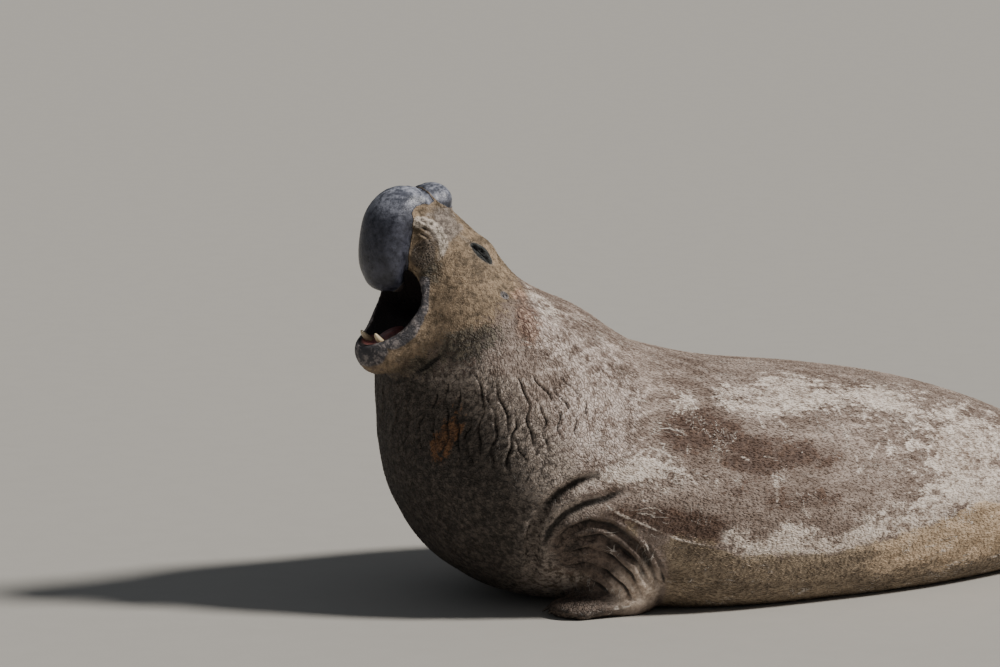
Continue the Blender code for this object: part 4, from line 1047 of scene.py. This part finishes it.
def coat_nodes():
    """Locks on one part of the skin, each lying along the skin's own direction for its hair."""
    group = bpy.data.node_groups.new("coat", "GeometryNodeTree")
    for name, kind in (("Skin", "NodeSocketGeometry"), ("Part", "NodeSocketInt"),
                       ("Density", "NodeSocketFloat"), ("Seed", "NodeSocketInt"),
                       ("Lock", "NodeSocketObject"), ("Finish", "NodeSocketMaterial")):
        group.interface.new_socket(name, in_out="INPUT", socket_type=kind)
    group.interface.new_socket("Coat", in_out="OUTPUT", socket_type="NodeSocketGeometry")

    def node(kind, settings=(), **sockets):
        made = group.nodes.new(kind)
        for name, value in dict(settings).items():
            setattr(made, name, value)
        for name, value in sockets.items():
            socket = next(s for s in made.inputs if s.name == name.replace("_", " ") and s.enabled)
            if isinstance(value, bpy.types.NodeSocket):
                group.links.new(value, socket)
            else:
                socket.default_value = value
        return made

    def carried(name, kind):
        made = node("GeometryNodeInputNamedAttribute", {"data_type": kind}, Name=name)
        return next(s for s in made.outputs if s.name == "Attribute" and s.enabled)

    given = node("NodeGroupInput").outputs
    chosen = node("FunctionNodeCompare", {"data_type": "INT", "operation": "EQUAL"})
    group.links.new(carried("part", "INT"), next(s for s in chosen.inputs if s.name == "A" and s.enabled))
    group.links.new(given["Part"], next(s for s in chosen.inputs if s.name == "B" and s.enabled))
    thick = node("ShaderNodeMath", {"operation": "MULTIPLY"})
    group.links.new(carried("hair", "FLOAT"), thick.inputs[0])
    group.links.new(given["Density"], thick.inputs[1])
    spread = node("GeometryNodeDistributePointsOnFaces", {"distribute_method": "RANDOM"}, Mesh=given["Skin"],
                  Selection=chosen.outputs["Result"], Density=thick.outputs[0], Seed=given["Seed"])
    stood = node("FunctionNodeAlignRotationToVector", {"axis": "Z"}, Vector=spread.outputs["Normal"])
    turned = node("FunctionNodeAlignRotationToVector", {"axis": "X", "pivot_axis": "Z"},
                  Rotation=stood.outputs["Rotation"], Vector=carried("lie", "FLOAT_VECTOR"))
    swing = node("FunctionNodeRandomValue", {"data_type": "FLOAT_VECTOR"}, Min=(-0.08, -0.09, -0.30),
                 Max=(0.08, 0.05, 0.30), Seed=given["Seed"])
    loose = node("FunctionNodeRotateRotation", {"rotation_space": "LOCAL"},
                 Rotation=turned.outputs["Rotation"], Rotate_By=swing.outputs["Value"])
    vary = node("FunctionNodeRandomValue", {"data_type": "FLOAT"}, Min=0.65, Max=1.25, Seed=given["Seed"])
    size = node("ShaderNodeMath", {"operation": "MULTIPLY"})
    group.links.new(carried("length", "FLOAT"), size.inputs[0])
    group.links.new(next(s for s in vary.outputs if s.enabled), size.inputs[1])
    shape = node("GeometryNodeObjectInfo", Object=given["Lock"])
    grown = node("GeometryNodeInstanceOnPoints", Points=spread.outputs["Points"],
                 Instance=shape.outputs["Geometry"], Rotation=loose.outputs["Rotation"],
                 Scale=size.outputs[0])
    real = node("GeometryNodeRealizeInstances", Geometry=grown.outputs["Instances"])
    coated = node("GeometryNodeSetMaterial", Geometry=real.outputs["Geometry"], Material=given["Finish"])
    group.links.new(coated.outputs["Geometry"], node("NodeGroupOutput").inputs["Coat"])
    return group


middle = np.array([clay[list(ring)].mean(0) for ring in rings])
how_far, _ = laid_flat(middle)
part = np.zeros(len(rings), int)
for number, (_, start, end) in enumerate(PARTS):
    part[(how_far >= start) & (how_far < end)] = number
made = skin.data.attributes.new("part", "INT", "FACE")
made.data.foreach_set("value", part)
length = 0.014 - 0.005 * marks["shield"] - 0.007 * marks["face"] - 0.008 * marks["limb"]
written(skin.data, "length", np.maximum(length, 0.005) * (1 - 0.4 * marks["pad"]))
fur = Finish("fur", Specular_IOR_Level=0.35)
colour, grain = hide_colour(fur)
lit = fur.blend(fur.mark("along_lock"), (0.50, 0.48, 0.46), (1.20, 1.18, 1.15))
fur.give(Base_Color=fur.blend(1.0, colour, lit, "MULTIPLY"), Roughness=0.60 + (grain["fleck"] - 0.5) * 0.3)
lock = lock_shape()
nodes = coat_nodes()
for number, (name, _, _) in enumerate(PARTS):
    coat = bpy.data.objects.new(name, skin.data)
    bpy.context.scene.collection.objects.link(coat)
    step = coat.modifiers.new("coat", "NODES")
    step.node_group = nodes
    values = {"Part": number, "Density": LOCKS_PER_M2, "Seed": number + 3, "Lock": lock,
              "Finish": fur.material}
    for item in nodes.interface.items_tree:
        if item.in_out == "INPUT" and item.name in values:
            step[item.identifier] = values[item.name]
    coat.update_tag()
    bpy.context.view_layer.update()
    mesh = bpy.data.meshes.new_from_object(coat.evaluated_get(bpy.context.evaluated_depsgraph_get()))
    coat.modifiers.clear()
    coat.data = mesh
    mesh.name = name
    roots = np.zeros(len(mesh.vertices) * 3, np.float32)
    mesh.attributes["clay"].data.foreach_get("vector", roots)
    roots = roots.reshape(-1, 3)
    along, turn = laid_flat(roots)
    corner = np.arange(len(roots)) % LOCK_POINTS
    u = 0.02 + 0.95 * along / BAKE_LENGTH + PATCH * (np.array((0, 2, 1, 0, 2, 1, 1)) / 2)[corner]
    v = 0.01 + 0.97 * turn + PATCH * (np.array((0, 0, 0, 1, 1, 1, 2)) / 2)[corner]
    at = np.zeros(len(mesh.loops), np.int32)
    mesh.loops.foreach_get("vertex_index", at)
    laid = np.stack([u, v], 1)[at].astype(np.float32)
    mesh.uv_layers.new(name="OFBake").data.foreach_set("uv", laid.ravel())
    mesh.shade_smooth()
    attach(coat, "root")
bpy.data.objects.remove(lock)

# The eyes: large dark eyeballs, nearly closed by the lids in the roar. Each is a wet ball with a bulged
# cornea, a brown ring and a black pupil, set in its socket behind the slit of the lids.
EYE_RINGS = 24
EYE_SIDES = 32


def head_placed(points):
    pivot = Matrix.Translation((TURN_X, 0, 0))
    turn = pivot @ Matrix.Rotation(HEAD_TURN, 4, "Z") @ pivot.inverted()
    turn = np.array(Matrix.Translation(SHIFT) @ turn)
    return np.asarray(points) @ turn[:3, :3].T + turn[:3, 3]


for side_name, sign in (("left", 1), ("right", -1)):
    gaze = np.array((-0.30, -0.92 * sign, 0.20))
    gaze /= np.linalg.norm(gaze)
    across = np.cross(gaze, (0, 0, 1))
    across /= np.linalg.norm(across)
    over = np.cross(across, gaze)
    points = [gaze * EYE_RADIUS * 1.05]
    iris = [0.0]
    for i in range(1, EYE_RINGS):
        angle = math.pi * i / EYE_RINGS
        radius = EYE_RADIUS * (1 + 0.05 * math.exp(-(angle / 0.5) ** 2))
        for k in range(EYE_SIDES):
            turn = 2 * math.pi * k / EYE_SIDES
            points.append(gaze * math.cos(angle) * radius
                          + (across * math.cos(turn) + over * math.sin(turn)) * math.sin(angle) * radius)
            iris.append(angle)
    points.append(-gaze * EYE_RADIUS)
    iris.append(math.pi)
    last = len(points) - 1
    eye_faces = [(0, 1 + k, 1 + (k + 1) % EYE_SIDES) for k in range(EYE_SIDES)]
    for i in range(EYE_RINGS - 2):
        for k in range(EYE_SIDES):
            a, b = 1 + i * EYE_SIDES + k, 1 + i * EYE_SIDES + (k + 1) % EYE_SIDES
            eye_faces.append((a, a + EYE_SIDES, b + EYE_SIDES, b))
    start = 1 + (EYE_RINGS - 2) * EYE_SIDES
    eye_faces += [(start + k, last, start + (k + 1) % EYE_SIDES) for k in range(EYE_SIDES)]
    centre = np.array((EYE[0], EYE[1] * sign, EYE[2]))
    eyeball = meshed("eyeball_" + side_name, head_placed(np.array(points) + centre), eye_faces)
    faced_out(eyeball)
    written(eyeball.data, "from_pupil", iris)
    wet = Finish("wet_eye_" + side_name, Roughness=0.06, Coat_Weight=1.0, Coat_Roughness=0.03)
    ring = wet.mark("from_pupil")
    spokes = wet.noise(wet.object_spot(), 260.0, 3.0)
    colour = wet.blend(ring.step(0.28, 0.34), (0.003, 0.003, 0.003), (0.050, 0.028, 0.015))
    colour = wet.blend((ring + (spokes - 0.5) * 0.2).step(0.58, 0.72), colour, (0.10, 0.070, 0.060))
    wet.give(Base_Color=colour)
    eyeball.data.materials.append(wet.material)
    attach(eyeball, "root")
    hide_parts("eye_" + side_name)

# The teeth: two thick yellowed canines rooted in the lower jaw, bone-hard, grooved along their length, worn
# at the tip and stained at the gum. The upper ones don't show behind the lip, so they aren't made.
CANINE = ((-0.582, -0.040, 0.910), (-0.634, -0.045, 0.962), 0.0145)


def horn(root, tip, bow, radius, rings=14, sides=16, ridges=0.0):
    """A bowed cone with a rounded tip: its points, its faces, and how far up it each point is."""
    root, tip, bow = (np.array(v, float) for v in (root, tip, bow))
    way = (tip - root) / np.linalg.norm(tip - root)
    across = np.cross(way, (0, 1, 0))
    across /= np.linalg.norm(across)
    other = np.cross(way, across)
    points, heights = [], []
    for i in range(rings):
        t = i / (rings - 1)
        middle = root + (tip - root) * t * 0.97 + bow * (4 * t * (1 - t))
        size = radius * (1 - t) ** 0.6 + radius * 0.22 * t
        for k in range(sides):
            turn = 2 * math.pi * k / sides
            fluted = 1 + ridges * math.cos(5 * turn + 1.3) * (1 - t)
            points.append(middle + (across * math.cos(turn) + other * math.sin(turn)) * size * fluted)
            heights.append(t)
    points.append(tip)
    heights.append(1.0)
    out = [tuple(range(sides))]
    for i in range(rings - 1):
        for k in range(sides):
            a, b = i * sides + k, i * sides + (k + 1) % sides
            out.append((a, a + sides, b + sides, b))
    start = (rings - 1) * sides
    out += [(start + k, start + sides, start + (k + 1) % sides) for k in range(sides)]
    return np.array(points), out, heights


def joined(name, parts):
    """One piece from several: each is points, faces and a height for each point."""
    points, faces, heights = [], [], []
    for part_points, part_faces, part_heights in parts:
        faces += [tuple(i + len(points) for i in face) for face in part_faces]
        points += list(part_points)
        heights += list(part_heights)
    thing = meshed(name, points, faces)
    faced_out(thing)
    written(thing.data, "height", heights)
    return thing


def tooth_finish(name):
    enamel = Finish(name, Subsurface_Weight=0.0, Coat_Weight=0.35, Coat_Roughness=0.12)
    up = enamel.mark("height")
    stain = enamel.noise(enamel.object_spot(), 120.0, 4.0)
    streaks = enamel.noise(enamel.stretched(enamel.object_spot(), (300.0, 300.0, 40.0)), 1.0, 3.0)
    colour = enamel.blend((up + (stain - 0.5) * 0.5).step(0.1, 0.8), (0.30, 0.19, 0.085), (0.66, 0.55, 0.37))
    colour = enamel.blend(streaks.step(0.55, 0.75) * 0.4, colour, (0.40, 0.28, 0.15))
    return enamel.give(Base_Color=colour, Roughness=0.22 + streaks * 0.25,
                       Normal=enamel.bump(streaks, 0.35, 0.0008))


mirrored = np.array((1, -1, 1))
for side_name, flip in (("left", np.ones(3)), ("right", mirrored)):
    root, tip, radius = CANINE
    points, tooth_faces, heights = horn(root, tip, (-0.004, 0, 0), radius, ridges=0.05)
    tooth = joined("canine_%s" % side_name, [(head_placed(points * flip), tooth_faces, heights)])
    tooth.data.materials.append(tooth_finish(tooth.name + "_enamel"))
    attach(tooth, "root")
    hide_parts("lower_canine_" + side_name)

# The whiskers: stiff dark bristles in rows on the pads beside the nose, and a few over each eye. Each is a
# thin tapering horn that grows out of its pit and bends down.
PAD_WHISKERS = tuple((-0.508 + 0.017 * i + 0.004 * k, -0.125, 1.272 - 0.021 * k + 0.004 * i,
                      0.034 + 0.004 * (i + k)) for k in range(5) for i in range(3))
BROW_WHISKERS = ((-0.318, -0.150, 1.262, 0.034), (-0.306, -0.150, 1.268, 0.040),
                 (-0.296, -0.158, 1.254, 0.030))
for side_name, flip in (("left", np.ones(3)), ("right", mirrored)):
    parts = []
    for number, (x, y, z, reach) in enumerate(PAD_WHISKERS + BROW_WHISKERS):
        nearest = np.argmin(np.linalg.norm(clay - np.array((x, y, z)) * flip, axis=1))
        root = clay[nearest]
        facing = steepest(seal_form, root[None])[0]
        facing /= np.linalg.norm(facing)
        way = facing + np.array((-0.55, 0.12 * math.sin(5 * number) * flip[1],
                                 -0.30 + 0.15 * math.cos(3 * number)))
        way /= np.linalg.norm(way)
        parts.append(horn(root - facing * 0.005, root + way * reach, (0, 0, 0.004), 0.0008, rings=5, sides=5))
    parts = [(head_placed(points), whisker_faces, heights) for points, whisker_faces, heights in parts]
    whiskers = joined("whiskers_" + side_name, parts)
    bristle = Finish("bristle_" + side_name, Roughness=0.35)
    bristle.give(Base_Color=bristle.blend(bristle.mark("height"), (0.030, 0.024, 0.020), (0.16, 0.12, 0.085)))
    whiskers.data.materials.append(bristle.material)
    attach(whiskers, "root")

# The tongue: a thick pink muscle low between the jaws, with a groove down its middle and a wet, pebbled skin.
TONGUE = (-0.548, 0.0, 0.940)
TONGUE_RADII = (0.062, 0.034, 0.020)
TONGUE_TILT = math.radians(-24)
TONGUE_STEPS = 32
points, tongue_faces, heights = [], [], []
for i in range(TONGUE_STEPS + 1):
    angle = math.pi * i / TONGUE_STEPS
    for k in range(TONGUE_STEPS):
        turn = 2 * math.pi * k / TONGUE_STEPS
        spot = np.array((-math.cos(angle), math.sin(angle) * math.cos(turn),
                         math.sin(angle) * math.sin(turn)))
        groove = 0.22 * math.exp(-(spot[1] / 0.22) ** 2) * max(spot[2], 0) * (1 - 0.6 * abs(spot[0]))
        spot = spot * TONGUE_RADII * (1, 1, 1 - groove)
        lean = (spot[0] * math.cos(TONGUE_TILT) + spot[2] * math.sin(TONGUE_TILT), spot[1],
                -spot[0] * math.sin(TONGUE_TILT) + spot[2] * math.cos(TONGUE_TILT))
        points.append(np.array(lean) + TONGUE)
for i in range(TONGUE_STEPS):
    for k in range(TONGUE_STEPS):
        a, b = i * TONGUE_STEPS + k, i * TONGUE_STEPS + (k + 1) % TONGUE_STEPS
        tongue_faces.append((a, b, b + TONGUE_STEPS, a + TONGUE_STEPS))
tongue = meshed("roaring_tongue", head_placed(points), tongue_faces)
faced_out(tongue, merge=0.00001)
flesh = Finish("tongue_flesh", Coat_Weight=0.5, Coat_Roughness=0.18)
spot = flesh.object_spot()
buds = flesh.cells(spot, 420.0)
veins = flesh.noise(spot, 60.0, 4.0)
# Its pink is darkened to a deep red: painted shade inside the mouth.
colour = flesh.blend(veins.step(0.35, 0.65), (0.13, 0.035, 0.034), (0.27, 0.090, 0.082))
colour = flesh.blend(buds.step(0.5, 0.2) * 0.4, colour, (0.32, 0.14, 0.13))
flesh.give(Base_Color=colour, Roughness=0.30 + veins * 0.2, Normal=flesh.bump(buds, 0.5, 0.0015))
tongue.data.materials.append(flesh.material)
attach(tongue, "root")
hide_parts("tongue")

# The claws: five dark, blunt nails on each fore flipper, of layered horn, set into the tips of the digits.
for side_name, flip in (("left", np.ones(3)), ("right", mirrored)):
    for number, (x, y) in enumerate(FORE_TIPS, 1):
        root, tip = (x + 0.022, y, 0.032), (x - 0.038, y, 0.011)
        points, claw_faces, heights = horn(root, tip, (0, 0, 0.006), 0.0085, rings=12, sides=14)
        points = posed(points * flip)
        claw = joined("nail_%s_%d" % (side_name, number), [(points, claw_faces, heights)])
        nail = Finish("nail_horn_%s_%d" % (side_name, number), Coat_Weight=0.15, Coat_Roughness=0.25)
        layers = nail.noise(nail.stretched(nail.object_spot(), (60.0, 260.0, 260.0)), 1.0, 4.0)
        colour = nail.blend((nail.mark("height") + (layers - 0.5)).step(0.3, 1.0), (0.022, 0.018, 0.015),
                            (0.105, 0.080, 0.055))
        nail.give(Base_Color=colour, Roughness=0.32 + layers * 0.25, Normal=nail.bump(layers, 0.5, 0.0010))
        claw.data.materials.append(nail.material)
        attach(claw, "root")
        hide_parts("claw_%s_%d" % (side_name, number))
        "claw_%s_%d" % (side_name, number)

# The floor: a plain pale studio floor that fills the picture.
ground = meshed("studio_floor", [(-60, -60, 0), (60, -60, 0), (60, 60, 0), (-60, 60, 0)], [(0, 1, 2, 3)])
plain = Finish("pale_floor", Roughness=0.85)
plain.give(Base_Color=plain.blend(plain.noise(plain.object_spot(), 9.0, 3.0), (0.44, 0.42, 0.385),
                                  (0.47, 0.45, 0.415)))
ground.data.materials.append(plain.material)

# The light: one soft lamp like a hazy sun, high on the tail side and a little to the near side, and a pale
# sky all round.
world = bpy.data.worlds.new("studio")
bpy.context.scene.world = world
world.use_nodes = True
world.node_tree.nodes["Background"].inputs["Color"].default_value = (0.86, 0.92, 1.0, 1.0)
world.node_tree.nodes["Background"].inputs["Strength"].default_value = 0.14
lamp = bpy.data.lights.new("key", "SUN")
lamp.energy = 4.2
lamp.color = (1.0, 0.965, 0.91)
lamp.angle = math.radians(9)
light = bpy.data.objects.new("key", lamp)
light.rotation_euler = Vector((0.62, -0.34, 0.70)).to_track_quat("Z", "Y").to_euler()
bpy.context.scene.collection.objects.link(light)

# The camera: a long lens, low, ahead of the animal's left shoulder, with the tail cropped at the right as in
# the picture. PIXELS is the picture's focal length, and ORIGIN_X and ORIGIN_Y are where the point at SHIFT
# falls in it; the lens looks through the picture's middle.
AZIMUTH, ELEVATION, DISTANCE, PIXELS = math.radians(-18), math.radians(12), 17.0, 4930.0
ORIGIN_X, ORIGIN_Y = 526, 592
back = Vector((math.sin(AZIMUTH) * math.cos(ELEVATION), -math.cos(AZIMUTH) * math.cos(ELEVATION),
               math.sin(ELEVATION)))
right = Vector((math.cos(AZIMUTH), math.sin(AZIMUTH), 0))
up = back.cross(right)
lens = bpy.data.cameras.new("camera")
lens.sensor_width = 36.0
lens.lens = PIXELS * lens.sensor_width / 1000
lens.clip_end = 200.0
camera = bpy.data.objects.new("camera", lens)
camera.location = Vector(SHIFT) + back * DISTANCE
axis = -back + right * (500 - ORIGIN_X) / PIXELS - up * (333.5 - ORIGIN_Y) / PIXELS
camera.rotation_euler = axis.to_track_quat("-Z", "Y").to_euler()
bpy.context.scene.collection.objects.link(camera)
bpy.context.scene.camera = camera
